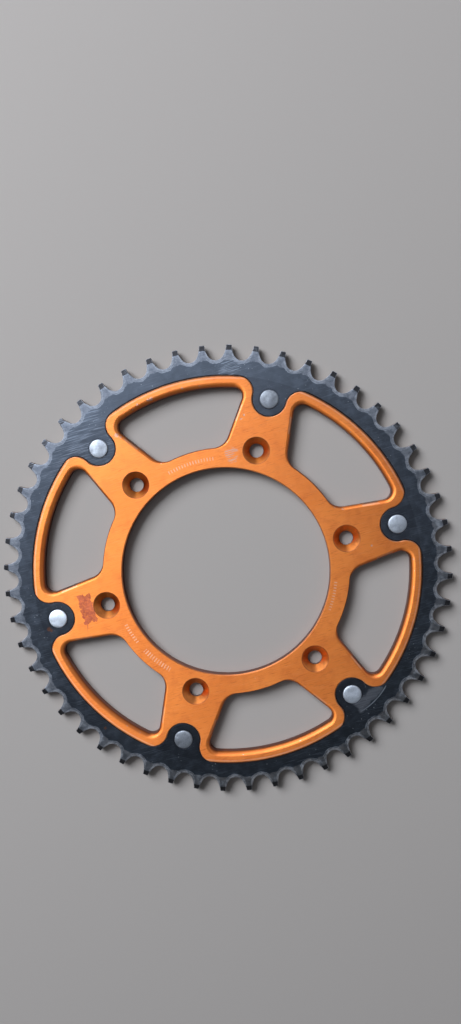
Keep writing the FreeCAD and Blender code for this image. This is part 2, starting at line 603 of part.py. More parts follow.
# -------------------------------------------------------------------- rivets
# solid steel rivet: low domed head on the ear, shank through ear and flange,
# tail upset into the flange's countersink and flush with the back face
rivets = []
for number in range(1, int(D["arm_count"]) + 1):
    name = "rivet_%d" % number
    body = new_body(name)
    sk = new_sketch(body, name + "_profile", "XZ_Plane")
    tail, td = D["rivet_tail_radius"], D["rivet_tail_depth"]
    shank, hr = D["rivet_shank_radius"], D["rivet_head_radius"]
    under, side = D["rivet_head_under"], D["rivet_head_side_top"]
    rnd, top_z = D["rivet_head_round"], D["rivet_head_top"]
    p = [(0.0, 0.0), (tail, 0.0), (shank, td), (shank, under), (hr, under), (hr, side)]
    g = [sk.addGeometry(Part.LineSegment(V(*p[i], 0), V(*p[i + 1], 0)), False) for i in range(5)]
    q = (hr - rnd, side + rnd * 0.8)
    qm = (hr - rnd * 0.28, side + rnd * 0.56)
    g.append(sk.addGeometry(arc3(p[5], qm, q), False))
    # shallow crown up to the middle
    sag = top_z - q[1]
    big = (q[0] ** 2 + sag ** 2) / (2 * sag)
    half = (q[0] / 2, top_z - (big - math.sqrt(big * big - (q[0] / 2) ** 2)))
    g.append(sk.addGeometry(arc3(q, half, (0.0, top_z)), False))
    g.append(sk.addGeometry(Part.LineSegment(V(0, top_z, 0), V(0, 0, 0)), False))

    def near2(gi, pt):
        w = sk.getPoint(gi, 1)
        return 1 if math.hypot(w.x - pt[0], w.y - pt[1]) < 1e-6 else 2

    joints = [(g[0], g[1], p[1]), (g[1], g[2], p[2]), (g[2], g[3], p[3]), (g[3], g[4], p[4]),
              (g[4], g[5], p[5]), (g[5], g[6], q), (g[6], g[7], (0.0, top_z)), (g[7], g[0], (0.0, 0.0))]
    for a, b, pt in joints:
        sk.addConstraint(C("Coincident", a, near2(a, pt), b, near2(b, pt)))
    sk.addConstraint(C("Coincident", g[0], 1, -1, 1))
    sk.addConstraint(C("Horizontal", g[0]))
    sk.addConstraint(C("Vertical", g[2]))
    sk.addConstraint(C("Horizontal", g[3]))
    sk.addConstraint(C("Vertical", g[4]))
    sk.addConstraint(C("Vertical", g[7]))
    dimension(sk, C("DistanceX", g[0], 1, g[0], 2, tail), "tail_radius", "dims.rivet_tail_radius")
    dimension(sk, C("DistanceX", -1, 1, g[2], 1, shank), "shank_radius", "dims.rivet_shank_radius")
    dimension(sk, C("DistanceY", -1, 1, g[2], 1, td), "tail_depth", "dims.rivet_tail_depth")
    dimension(sk, C("DistanceY", -1, 1, g[2], 2, under), "head_under", "dims.rivet_head_under")
    dimension(sk, C("DistanceX", -1, 1, g[4], 1, hr), "head_radius", "dims.rivet_head_radius")
    dimension(sk, C("DistanceY", -1, 1, g[4], 2, side), "head_side", "dims.rivet_head_side_top")
    dimension(sk, C("DistanceY", -1, 1, g[7], 1, top_z), "head_top", "dims.rivet_head_top")
    doc.recompute()
    rev = body.newObject("PartDesign::Revolution", name + "_turned")
    rev.Profile = sk
    rev.ReferenceAxis = (sk, ["V_Axis"])
    rev.Angle = 360
    body.Tip = rev
    turn = (number - 1) * 360.0 / D["arm_count"]
    body.setExpression(".Placement.Base.x", "dims.rivet_circle_radius * cos(%g deg)" % turn)
    body.setExpression(".Placement.Base.y", "dims.rivet_circle_radius * sin(%g deg)" % turn)
    doc.recompute()
    rivets.append(body)

# ------------------------------------------------------------ check and export
doc.recompute()
for obj in doc.Objects:
    bad = [s for s in obj.State if s in ("Invalid", "Error")]
    if bad:
        raise RuntimeError("%s is %s" % (obj.Name, bad))

os.makedirs("parts", exist_ok=True)
for body in [carrier, ring] + rivets:
    shape = body.Shape
    if shape.isNull() or not shape.isValid():
        raise RuntimeError(body.Label + " has no valid shape")
    if len(shape.Solids) != 1:
        raise RuntimeError("%s has %d solids" % (body.Label, len(shape.Solids)))
    bb = shape.BoundBox
    print("%-11s volume %10.1f  x %.2f..%.2f  y %.2f..%.2f  z %.2f..%.2f" % (
        body.Label, shape.Volume, bb.XMin, bb.XMax, bb.YMin, bb.YMax, bb.ZMin, bb.ZMax))
    shape.exportStep("parts/%s.step" % body.Label)
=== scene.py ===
import math

import bpy
import numpy as np
from mathutils import Matrix, Vector
from mathutils.geometry import delaunay_2d_cdt


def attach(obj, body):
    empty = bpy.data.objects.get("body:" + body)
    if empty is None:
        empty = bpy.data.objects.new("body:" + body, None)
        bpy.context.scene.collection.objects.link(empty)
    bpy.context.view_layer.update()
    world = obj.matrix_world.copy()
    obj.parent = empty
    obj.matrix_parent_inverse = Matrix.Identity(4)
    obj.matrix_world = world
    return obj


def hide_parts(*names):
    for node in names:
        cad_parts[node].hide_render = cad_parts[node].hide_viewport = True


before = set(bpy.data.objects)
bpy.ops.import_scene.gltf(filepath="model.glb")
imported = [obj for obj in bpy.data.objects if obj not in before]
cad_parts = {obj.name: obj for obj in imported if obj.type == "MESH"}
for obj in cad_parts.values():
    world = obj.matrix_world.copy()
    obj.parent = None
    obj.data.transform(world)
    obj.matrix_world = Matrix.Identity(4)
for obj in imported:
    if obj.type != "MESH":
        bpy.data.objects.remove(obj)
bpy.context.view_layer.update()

MM = 0.001

# Sizes of the sprocket in millimetres, the same as the CAD model's.
TH, FLANGE, RING = 7.0, 3.0, 6.0
RIM, BORE, EDGE = 117.0, 62.5, 0.5
RIVET_AT, SCALLOP, LOBE, LOBE_AT, GAP = 106.16, 10.25, 9.3, 107.8, 0.2
BOLT_AT = 75.0
TOP = dict(ro=113.0, ri=73.9, dist=25.91, tilt=6.87, fo=7.5, fi=11.0)
MID = dict(ro=111.5, ri=74.25, dist=26.24, tilt=6.28, fo=6.4, fi=10.8)
LOW = dict(ro=110.35, ri=74.7, dist=26.65, tilt=6.0, fo=5.2, fi=10.4)
PITCH_R, SEAT, TIP_R, TIP_B, TIP_A = 131.465, 5.2, 135.6, 132.2, math.radians(27.0)
TEETH, GAP0 = 52, math.radians(0.59)
SEAT_R = 117.15


# ---------------------------------------------------------------- mesh tools
class Builder:
    """Collects points and faces in millimetres and welds them into one closed mesh."""

    def __init__(self):
        self.v, self.f, self.key = [], [], {}

    def pt(self, x, y, z):
        k = (round(x * 4000), round(y * 4000), round(z * 4000))
        if k not in self.key:
            self.key[k] = len(self.v)
            self.v.append((x, y, z))
        return self.key[k]

    def face(self, ids):
        out = []
        for i in ids:
            if not out or out[-1] != i:
                out.append(i)
        if len(out) > 1 and out[0] == out[-1]:
            out.pop()
        if len(set(out)) >= 3:
            self.f.append(out)

    def strip(self, a, b, flip=False):
        """Wall between two closed loops of the same length, each a list of (x, y, z)."""
        n = len(a)
        for i in range(n):
            j = (i + 1) % n
            q = [self.pt(*a[i]), self.pt(*a[j]), self.pt(*b[j]), self.pt(*b[i])]
            self.face(q[::-1] if flip else q)

    def open_strip(self, a, b, flip=False):
        for i in range(len(a) - 1):
            q = [self.pt(*a[i]), self.pt(*a[i + 1]), self.pt(*b[i + 1]), self.pt(*b[i])]
            self.face(q[::-1] if flip else q)

    def fill(self, outer, holes, z, up=True):
        """Flat face at height z inside outer and outside holes, all lists of (x, y)."""
        pts, edges = [], []
        for loop in [outer] + list(holes):
            s = len(pts)
            pts += [Vector((p[0], p[1])) for p in loop]
            edges += [(s + i, s + (i + 1) % len(loop)) for i in range(len(loop))]
        v, e, f, _, _, _ = delaunay_2d_cdt(pts, edges, [], 1, 1e-7)
        polys = [np.array([(p[0], p[1]) for p in h]) for h in holes]
        shell = np.array([(p[0], p[1]) for p in outer])
        for tri in f:
            c = np.mean([(v[i].x, v[i].y) for i in tri], 0)
            if not inside(shell, c) or any(inside(h, c) for h in polys):
                continue
            ids = [self.pt(v[i].x, v[i].y, z) for i in tri]
            a, b, d = (v[i] for i in tri[:3])
            ccw = (b.x - a.x) * (d.y - a.y) - (b.y - a.y) * (d.x - a.x) > 0
            self.face(ids if ccw == up else ids[::-1])

    def build(self, name, smooth_angle=28.0):
        me = bpy.data.meshes.new(name)
        me.from_pydata([(x * MM, y * MM, z * MM) for x, y, z in self.v], [], self.f)
        me.validate(clean_customdata=False)
        me.update()
        ob = bpy.data.objects.new(name, me)
        bpy.context.scene.collection.objects.link(ob)
        me.shade_smooth()
        me.set_sharp_from_angle(angle=math.radians(smooth_angle))
        mod = ob.modifiers.new("normals", "WEIGHTED_NORMAL")
        mod.keep_sharp = True
        mod.weight = 90
        return ob


def inside(poly, p):
    x, y = poly[:, 0], poly[:, 1]
    x2, y2 = np.roll(x, -1), np.roll(y, -1)
    hit = ((y > p[1]) != (y2 > p[1]))
    with np.errstate(divide="ignore", invalid="ignore"):
        xs = (x2 - x) * (p[1] - y) / (y2 - y) + x
    return bool(np.count_nonzero(hit & (p[0] < xs)) % 2)


def arc(cx, cy, r, a0, a1, n):
    return [(cx + r * math.cos(a0 + (a1 - a0) * i / n), cy + r * math.sin(a0 + (a1 - a0) * i / n)) for i in range(n + 1)]


def seg(p, q, n):
    return [(p[0] + (q[0] - p[0]) * i / n, p[1] + (q[1] - p[1]) * i / n) for i in range(n + 1)]


def turn(pts, a):
    c, s = math.cos(a), math.sin(a)
    return [(x * c - y * s, x * s + y * c) for x, y in pts]


def at(pts, z):
    return [(x, y, z) for x, y in pts]


def ring_pts(r, n, cx=0.0, cy=0.0):
    return [(cx + r * math.cos(2 * math.pi * i / n), cy + r * math.sin(2 * math.pi * i / n)) for i in range(n)]


def blend(a, b, k):
    return {key: a[key] + (b[key] - a[key]) * k for key in a}


# ------------------------------------------------------------------ outlines
def window(w, grow=0.0):
    """Closed outline of one window about +X, counter-clockwise, fixed point count."""
    ro, ri, dist, fo, fi = w["ro"] + grow, w["ri"] - grow, w["dist"] - grow, w["fo"] + grow, w["fi"] + grow
    ang = math.pi / 6 + math.radians(w["tilt"])
    u, n = (math.cos(ang), math.sin(ang)), (math.sin(ang), -math.cos(ang))

    def centre(rad, off):
        d = dist + off
        a = math.sqrt(rad * rad - d * d)
        return (n[0] * d + u[0] * a, n[1] * d + u[1] * a)

    co, ci = centre(ro - fo, fo), centre(ri + fi, fi)
    ao, ai = math.atan2(co[1], co[0]), math.atan2(ci[1], ci[0])
    out_dir = math.atan2(-n[1], -n[0])                     # from a corner centre to the side line
    to_line = (co[0] - n[0] * fo, co[1] - n[1] * fo)
    ti_line = (ci[0] - n[0] * fi, ci[1] - n[1] * fi)
    pts = arc(0, 0, ro, -ao, ao, 44)[:-1]
    pts += arc(co[0], co[1], fo, ao, out_dir, 14)[:-1]
    pts += seg(to_line, ti_line, 10)[:-1]
    end = ai + math.pi
    pts += arc(ci[0], ci[1], fi, out_dir, end, 14)[:-1]
    pts += arc(0, 0, ri, ai, -ai, 24)[:-1]
    pts += [(x, -y) for x, y in arc(ci[0], ci[1], fi, end, out_dir, 14)[:-1]]
    pts += [(x, -y) for x, y in seg(ti_line, to_line, 10)[:-1]]
    pts += [(x, -y) for x, y in arc(co[0], co[1], fo, out_dir, ao, 14)[:-1]]
    return pts


def lobes(rim, r_ear, r_lobe, out=True):
    """Outline with six scallops, counter-clockwise; also returns each scallop's run.

    rim is the circle outside the lobes, r_ear the arc round the rivet and r_lobe
    the corner between them."""
    dist = r_ear + r_lobe
    th = math.acos((RIVET_AT ** 2 + LOBE_AT ** 2 - dist ** 2) / (2 * RIVET_AT * LOBE_AT))
    c1 = (LOBE_AT * math.cos(th), LOBE_AT * math.sin(th))
    if LOBE_AT + r_lobe > rim + 1e-6:
        phi = math.acos((rim ** 2 + LOBE_AT ** 2 - r_lobe ** 2) / (2 * rim * LOBE_AT))
    else:
        phi = 0.0
    e = (rim * math.cos(th - phi), rim * math.sin(th - phi))
    t = (RIVET_AT + (c1[0] - RIVET_AT) * r_ear / dist, c1[1] * r_ear / dist)
    a_e = math.atan2(e[1] - c1[1], e[0] - c1[0])
    a_t = math.atan2(t[1] - c1[1], t[0] - c1[0])
    while a_t > a_e:
        a_t -= 2 * math.pi
    a_n = math.atan2(t[1], t[0] - RIVET_AT)
    upper = arc(c1[0], c1[1], r_lobe, a_t, a_e, 20)            # from scallop to rim, upper side
    notch = arc(RIVET_AT, 0, r_ear, 2 * math.pi - a_n, a_n, 40)  # lower tangent point to upper one, through 180
    notch = [(x, y) for x, y in notch]
    lower = [(x, -y) for x, y in upper[::-1]]                  # from rim to scallop, lower side
    run = lower[:-1] + notch[:-1] + upper
    ea = math.atan2(e[1], e[0])
    rim_run = arc(0, 0, rim, ea, math.pi / 3 - ea, 36)
    full = []
    for k in range(6):
        full += turn(run[:-1] + rim_run[:-1], k * math.pi / 3)
    return full, run, ea


def bevel_levels():
    """Steps across the window bevel: (share of the way from front outline to wall, depth)."""
    out, depth, last, slope0 = [(-0.03, 0.0)], 0.008, 0.0, 4.0
    stops = [0.0, 0.1, 0.35, 0.7, 1.05, 1.4, 1.75, 2.05, 2.35, 2.6, 2.78, 2.87, 2.9]
    for t in stops:
        n = 20
        for i in range(n):
            m = last + (t - last) * (i + 0.5) / n
            depth += math.tan(math.radians(slope0 + 62.0 * (m / 2.9) ** 1.25 + 16.0 * max(0.0, m / 2.9 - 0.9) / 0.1)) * (t - last) / n
        last = t
        out.append((0.6 * t / 1.75 if t <= 1.75 else 0.6 + 0.4 * (t - 1.75) / 1.15, depth))
    return out + [(1.0, depth + 0.45)]


# ------------------------------------------------------------------- carrier
def make_carrier():
    b = Builder()
    # outside: broken edge, wall down to the flange
    full = [(0.62, TH), (0.5, TH - 0.03), (0.03, TH - 0.47), (0.0, TH - 0.6), (0.0, FLANGE)]
    loops = []
    for d, z in full:
        pts, run, ea = lobes(RIM - d, SCALLOP + d, LOBE - d)
        loops.append((pts, z))
    for (p, z0), (q, z1) in zip(loops, loops[1:]):
        b.strip(at(q, z1), at(p, z0))
    top_outer = loops[0][0]
    _, run, ea = lobes(RIM, SCALLOP, LOBE)
    # flange ledge under each ear, with the rivet's hole
    cover = arc(0, 0, RIM, -ea, ea, 18)
    hole = ring_pts(4.05, 40, RIVET_AT, 0)
    for k in range(6):
        a = k * math.pi / 3
        poly = cover + run[::-1][1:-1]
        b.fill(turn(poly, a), [turn(hole, a)], FLANGE, up=True)
    # flange wall and back edge; the circle uses the same points as the lobes' rim
    circ = []
    rim_run = arc(0, 0, RIM, ea, math.pi / 3 - ea, 36)
    for k in range(6):
        circ += turn(cover[:-1] + rim_run[:-1], k * math.pi / 3)

    def shrink(pts, d):
        return [(x * (1 - d / math.hypot(x, y)), y * (1 - d / math.hypot(x, y))) for x, y in pts]

    back = [(0.0, FLANGE), (0.0, 0.6), (0.03, 0.47), (0.5, 0.03), (0.62, 0.0)]
    for (d0, z0), (d1, z1) in zip(back, back[1:]):
        b.strip(at(shrink(circ, d1), z1), at(shrink(circ, d0), z0))
    back_outer = shrink(circ, 0.62)
    # bore
    n = 288
    prof = [(BORE + 0.7, TH), (BORE + 0.58, TH - 0.03), (BORE + 0.03, TH - 0.58), (BORE, TH - 0.7),
            (BORE, 0.7), (BORE + 0.03, 0.58), (BORE + 0.58, 0.03), (BORE + 0.7, 0.0)]
    for (r0, z0), (r1, z1) in zip(prof, prof[1:]):
        b.strip(at(ring_pts(r0, n), z0), at(ring_pts(r1, n), z1))
    holes_top, holes_back = [ring_pts(prof[0][0], n)], [ring_pts(prof[-1][0], n)]
    # windows: a crowned bevel that widens from the hub side to the rim and rolls into the wall
    levels = bevel_levels()
    for k in range(6):
        a = math.pi / 6 + k * math.pi / 3
        prev = None
        for p, drop in levels:
            if p < 0:
                pts = window(TOP, 0.12)
            elif p < 0.6:
                pts = window(blend(TOP, MID, p / 0.6))
            else:
                pts = window(blend(MID, LOW, (p - 0.6) / 0.4))
            loop = at(turn(pts, a), TH - drop)
            if prev is not None:
                b.strip(prev, loop)
            else:
                holes_top.append(turn(pts, a))
            prev = loop
        for grow, z in ((0.0, 0.35), (0.06, 0.12), (0.2, 0.0)):
            pts = window(LOW, grow)
            loop = at(turn(pts, a), z)
            b.strip(prev, loop)
            prev = loop
        holes_back.append(turn(window(LOW, 0.2), a))
    # hub bolt holes
    m = 72
    prof = [(8.12, TH), (8.0, TH - 0.04), (4.28, TH - 3.74), (4.2, TH - 3.88), (4.2, 0.3), (4.4, 0.0)]
    for k in range(6):
        a = k * math.pi / 3
        cx, cy = BOLT_AT * math.cos(a), BOLT_AT * math.sin(a)
        for (r0, z0), (r1, z1) in zip(prof, prof[1:]):
            b.strip(at(ring_pts(r0, m, cx, cy), z0), at(ring_pts(r1, m, cx, cy), z1))
        holes_top.append(ring_pts(prof[0][0], m, cx, cy))
        holes_back.append(ring_pts(prof[-1][0], m, cx, cy))
    # rivet holes, countersunk at the back
    prof = [(4.05, FLANGE), (4.05, 1.65), (5.7, 0.0)]
    for k in range(6):
        a = k * math.pi / 3
        for (r0, z0), (r1, z1) in zip(prof, prof[1:]):
            b.strip(at(turn(ring_pts(r0, 40, RIVET_AT, 0), a), z0), at(turn(ring_pts(r1, 40, RIVET_AT, 0), a), z1))
        holes_back.append(turn(ring_pts(5.7, 40, RIVET_AT, 0), a))
    b.fill(top_outer, holes_top, TH, up=True)
    b.fill(back_outer, holes_back, 0.0, up=False)
    return b.build("carrier_body")


# --------------------------------------------------------------- toothed ring
def circle3(p, q, r):
    ax, ay, bx, by, cx, cy = *p, *q, *r
    d = 2 * (ax * (by - cy) + bx * (cy - ay) + cx * (ay - by))
    ux = ((ax * ax + ay * ay) * (by - cy) + (bx * bx + by * by) * (cy - ay) + (cx * cx + cy * cy) * (ay - by)) / d
    uy = ((ax * ax + ay * ay) * (cx - bx) + (bx * bx + by * by) * (ax - cx) + (cx * cx + cy * cy) * (bx - ax)) / d
    return ux, uy, math.hypot(ax - ux, ay - uy)


def through(p, q, r, n):
    cx, cy, rad = circle3(p, q, r)
    a0, a1 = math.atan2(p[1] - cy, p[0] - cx), math.atan2(r[1] - cy, r[0] - cx)
    am = math.atan2(q[1] - cy, q[0] - cx)
    d = (a1 - a0 + math.pi) % (2 * math.pi) - math.pi
    dm = (am - a0 + math.pi) % (2 * math.pi) - math.pi
    if d * dm < 0:
        d = d - 2 * math.pi if d > 0 else d + 2 * math.pi
    return arc(cx, cy, rad, a0, a0 + d, n)


def gap_half():
    """Upper half of one tooth gap about +X: from the bottom of the roller seat out to the tip land."""
    sa = math.radians(63.0)
    s1 = (PITCH_R - SEAT * math.cos(sa), SEAT * math.sin(sa))
    s2, s3 = (132.2, 6.0), (134.95, 6.52)
    land = math.pi / TEETH - (1.6 - 0.55) / TIP_R
    s4 = (TIP_R * math.cos(land), TIP_R * math.sin(land))
    mx, my = 0.5 * (s3[0] + s4[0]), 0.5 * (s3[1] + s4[1])
    dx, dy = s4[0] - s3[0], s4[1] - s3[1]
    ll = math.hypot(dx, dy)
    nx, ny = dy / ll, -dx / ll
    if nx - ny < 0:
        nx, ny = -nx, -ny
    sm = (mx + nx * 0.16, my + ny * 0.16)
    seat = arc(PITCH_R, 0, SEAT, math.pi, math.pi - sa, 16)
    seat = [(x, abs(y)) for x, y in seat]
    flank = through(s1, s2, s3, 12)
    tip = through(s3, sm, s4, 6)
    return seat + flank[1:] + tip[1:], land


def gap_point_at_radius(half, radius):
    for i in range(len(half) - 1):
        r0, r1 = math.hypot(*half[i]), math.hypot(*half[i + 1])
        if r0 <= radius <= r1:
            k = (radius - r0) / (r1 - r0)
            return i + 1, (half[i][0] + (half[i + 1][0] - half[i][0]) * k, half[i][1] + (half[i + 1][1] - half[i][1]) * k)
    raise ValueError(radius)


def z_of(r, d=0.0):
    return RING - max(0.0, r - TIP_B) * math.tan(TIP_A) - d


def make_ring():
    b = Builder()
    half, land = gap_half()
    # put a point exactly where the tip bevel starts
    i, p = gap_point_at_radius(half, TIP_B)
    half.insert(i, p)
    i_bev = i
    nh = len(half)
    h = np.array(half)
    tan = np.gradient(h, axis=0)
    tan[0] = (0.0, 1.0)
    tan /= np.linalg.norm(tan, axis=1)[:, None]
    nor = np.stack([-tan[:, 1], tan[:, 0]], 1)        # to the left of the run: into the tooth
    nor[0] = (-1.0, 0.0)
    nor[-1] = (-math.cos(land), -math.sin(land))
    step = 2 * math.pi / TEETH
    n_land = 4

    def tooth(delta, k):
        """Half gap, tip land, half gap: from the bottom of gap k to the bottom of gap k + 1."""
        up = h + nor * delta
        a = [tuple(q) for q in up]
        l0 = math.atan2(up[-1][1], up[-1][0])
        rr = math.hypot(*up[-1])
        mid = arc(0, 0, rr, l0, step - l0, n_land)[1:-1]
        down = turn([(x, -y) for x, y in a[::-1]], step)
        return turn(a + mid + down[:-1], GAP0 + k * step)

    def loop3(delta, drop, back):
        out = []
        for k in range(TEETH):
            for x, y in tooth(delta, k):
                z = z_of(math.hypot(x, y), drop)
                out.append((x, y, RING - z if back else z))
        return out

    rounding = [(0.28, 0.0), (0.14, 0.05), (0.05, 0.14), (0.0, 0.3)]
    tops = [loop3(d, q, False) for d, q in rounding]
    backs = [loop3(d, q, True) for d, q in rounding]
    seq = tops + backs[::-1]
    for p, q in zip(seq, seq[1:]):
        b.strip(q, p)
    # tip facets on both sides, then the flat faces inside them
    n_tooth = len(tooth(0.28, 0))
    outer_flat = {False: [], True: []}
    for back in (False, True):
        for k in range(TEETH):
            t = tooth(0.28, k)
            t3 = [(x, y, (RING - z_of(math.hypot(x, y))) if back else z_of(math.hypot(x, y))) for x, y in t]
            # rows across the tooth: index j on the rising flank pairs with n_tooth - j on the falling one
            rows = []
            for j in range(i_bev, nh):
                rows.append((t3[j], t3[(n_tooth - j) % n_tooth] if n_tooth - j < n_tooth else None))
            left = [t3[j] for j in range(i_bev, nh)]
            right = [t3[n_tooth - j] for j in range(i_bev, nh)]

            def across(p, q):
                r0, r1 = math.hypot(p[0], p[1]), math.hypot(q[0], q[1])
                a0, a1 = math.atan2(p[1], p[0]), math.atan2(q[1], q[0])
                if a1 < a0:
                    a1 += 2 * math.pi
                m = n_land
                return [(p[0], p[1], p[2])] + [((r0 + (r1 - r0) * i / m) * math.cos(a0 + (a1 - a0) * i / m),
                                                (r0 + (r1 - r0) * i / m) * math.sin(a0 + (a1 - a0) * i / m),
                                                p[2] + (q[2] - p[2]) * i / m) for i in range(1, m)] + [q]

            lines = [across(p, q) for p, q in zip(left, right)]
            for l0, l1 in zip(lines, lines[1:]):
                b.open_strip(l1, l0, flip=not back) if False else b.open_strip(l0, l1, flip=not back)
            # outline of the flat face: seat and flank up to the bevel, then across the tooth
            flat = [q[:2] for q in t3[:i_bev]] + [q[:2] for q in lines[0]] + [q[:2] for q in t3[n_tooth - i_bev + 1:]]
            outer_flat[back] += flat
    # inside: broken edge, ears on the front half
    ear_r, root = SCALLOP - GAP, LOBE + GAP
    levels = [(0.38, RING), (0.28, RING - 0.03), (0.02, RING - 0.28), (0.0, RING - 0.38), (0.0, FLANGE)]
    prev = None
    for d, z in levels:
        pts, run, ea = lobes(SEAT_R + d, ear_r - d, root + d)
        if prev is None:
            inner_top = pts
        else:
            b.strip(prev, at(pts, z))
        prev = at(pts, z)
    _, run, ea = lobes(SEAT_R, ear_r, root)
    cover = arc(0, 0, SEAT_R, -ea, ea, 18)
    spot = [(6.3, RING), (6.2, RING - 0.08), (6.2, RING - 0.3), (4.05, RING - 0.3), (4.05, FLANGE)]
    spots = []
    for k in range(6):
        a = k * math.pi / 3
        poly = cover + run[::-1][1:-1]
        b.fill(turn(poly, a), [turn(ring_pts(4.05, 48, RIVET_AT, 0), a)], FLANGE, up=False)
        for (r0, z0), (r1, z1) in zip(spot, spot[1:]):
            b.strip(at(turn(ring_pts(r0, 48, RIVET_AT, 0), a), z0), at(turn(ring_pts(r1, 48, RIVET_AT, 0), a), z1))
        spots.append(turn(ring_pts(6.3, 48, RIVET_AT, 0), a))
    circ = []
    rim_run = arc(0, 0, SEAT_R, ea, math.pi / 3 - ea, 36)
    for k in range(6):
        circ += turn(cover[:-1] + rim_run[:-1], k * math.pi / 3)

    def grow(pts, d):
        return [(x * (1 + d / math.hypot(x, y)), y * (1 + d / math.hypot(x, y))) for x, y in pts]

    back = [(0.0, FLANGE), (0.0, 0.38), (0.02, 0.28), (0.28, 0.03), (0.38, 0.0)]
    for (d0, z0), (d1, z1) in zip(back, back[1:]):
        b.strip(at(grow(circ, d0), z0), at(grow(circ, d1), z1))
    b.fill(outer_flat[False], [inner_top] + spots, RING, up=True)
    b.fill(outer_flat[True], [grow(circ, 0.38)], 0.0, up=False)
    return b.build("tooth_ring_body")


# -------------------------------------------------------------------- rivets
def make_rivet(k):
    b = Builder()
    rng = np.random.default_rng(40 + k)
    n = 96
    prof = [(5.6, 0.0), (4.0, 1.6), (4.0, 5.7), (5.45, 5.7), (5.62, 5.78), (5.65, 5.95), (5.65, 6.2),
            (5.6, 6.36), (5.46, 6.5), (5.22, 6.6), (4.9, 6.66), (4.3, 6.74), (3.5, 6.81), (2.6, 6.87), (1.7, 6.91),
            (0.85, 6.935)]
    a0 = k * math.pi / 3
    cx, cy = RIVET_AT * math.cos(a0), RIVET_AT * math.sin(a0)
    dents = [(rng.uniform(-4.5, 4.5), rng.uniform(-4.5, 4.5), rng.uniform(0.7, 1.9), rng.uniform(0.03, 0.1)) for _ in range(9)]
    ph = rng.uniform(0, 6.28, 3)

    def place(r, z, a):
        x, y = r * math.cos(a), r * math.sin(a)
        if z > 6.3:
            z += 0.02 * math.sin(3 * a + ph[0]) * (r / 5.65) ** 2
            for dx, dy, w, dep in dents:
                z -= dep * math.exp(-((x - dx) ** 2 + (y - dy) ** 2) / (w * w))
        if z > 5.75:
            s = 1 + 0.004 * math.sin(2 * a + ph[1]) + 0.003 * math.sin(5 * a + ph[2]) - 0.006
            x, y = x * s, y * s
        return (cx + x, cy + y, z)

    rings = [[place(r, z, 2 * math.pi * i / n) for i in range(n)] for r, z in prof]
    for p, q in zip(rings, rings[1:]):
        b.strip(p, q)
    top = b.pt(*place(0.0, 6.95, 0.0))
    low = b.pt(cx, cy, 0.0)
    for i in range(n):
        j = (i + 1) % n
        b.face([b.pt(*rings[-1][i]), b.pt(*rings[-1][j]), top])
        b.face([b.pt(*rings[0][j]), b.pt(*rings[0][i]), low])
    return b.build("rivet_%d_body" % (k + 1), smooth_angle=40)


carrier = make_carrier()
ring = make_ring()
rivets = [make_rivet(k) for k in range(6)]
for piece, node, slot in [(carrier, "carrier", "carrier_anodised"), (ring, "tooth_ring", "ring_steel")] + [
        (r, "rivet_%d" % (k + 1), "rivet_steel") for k, r in enumerate(rivets)]:
    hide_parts(node)
    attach(piece, "root")


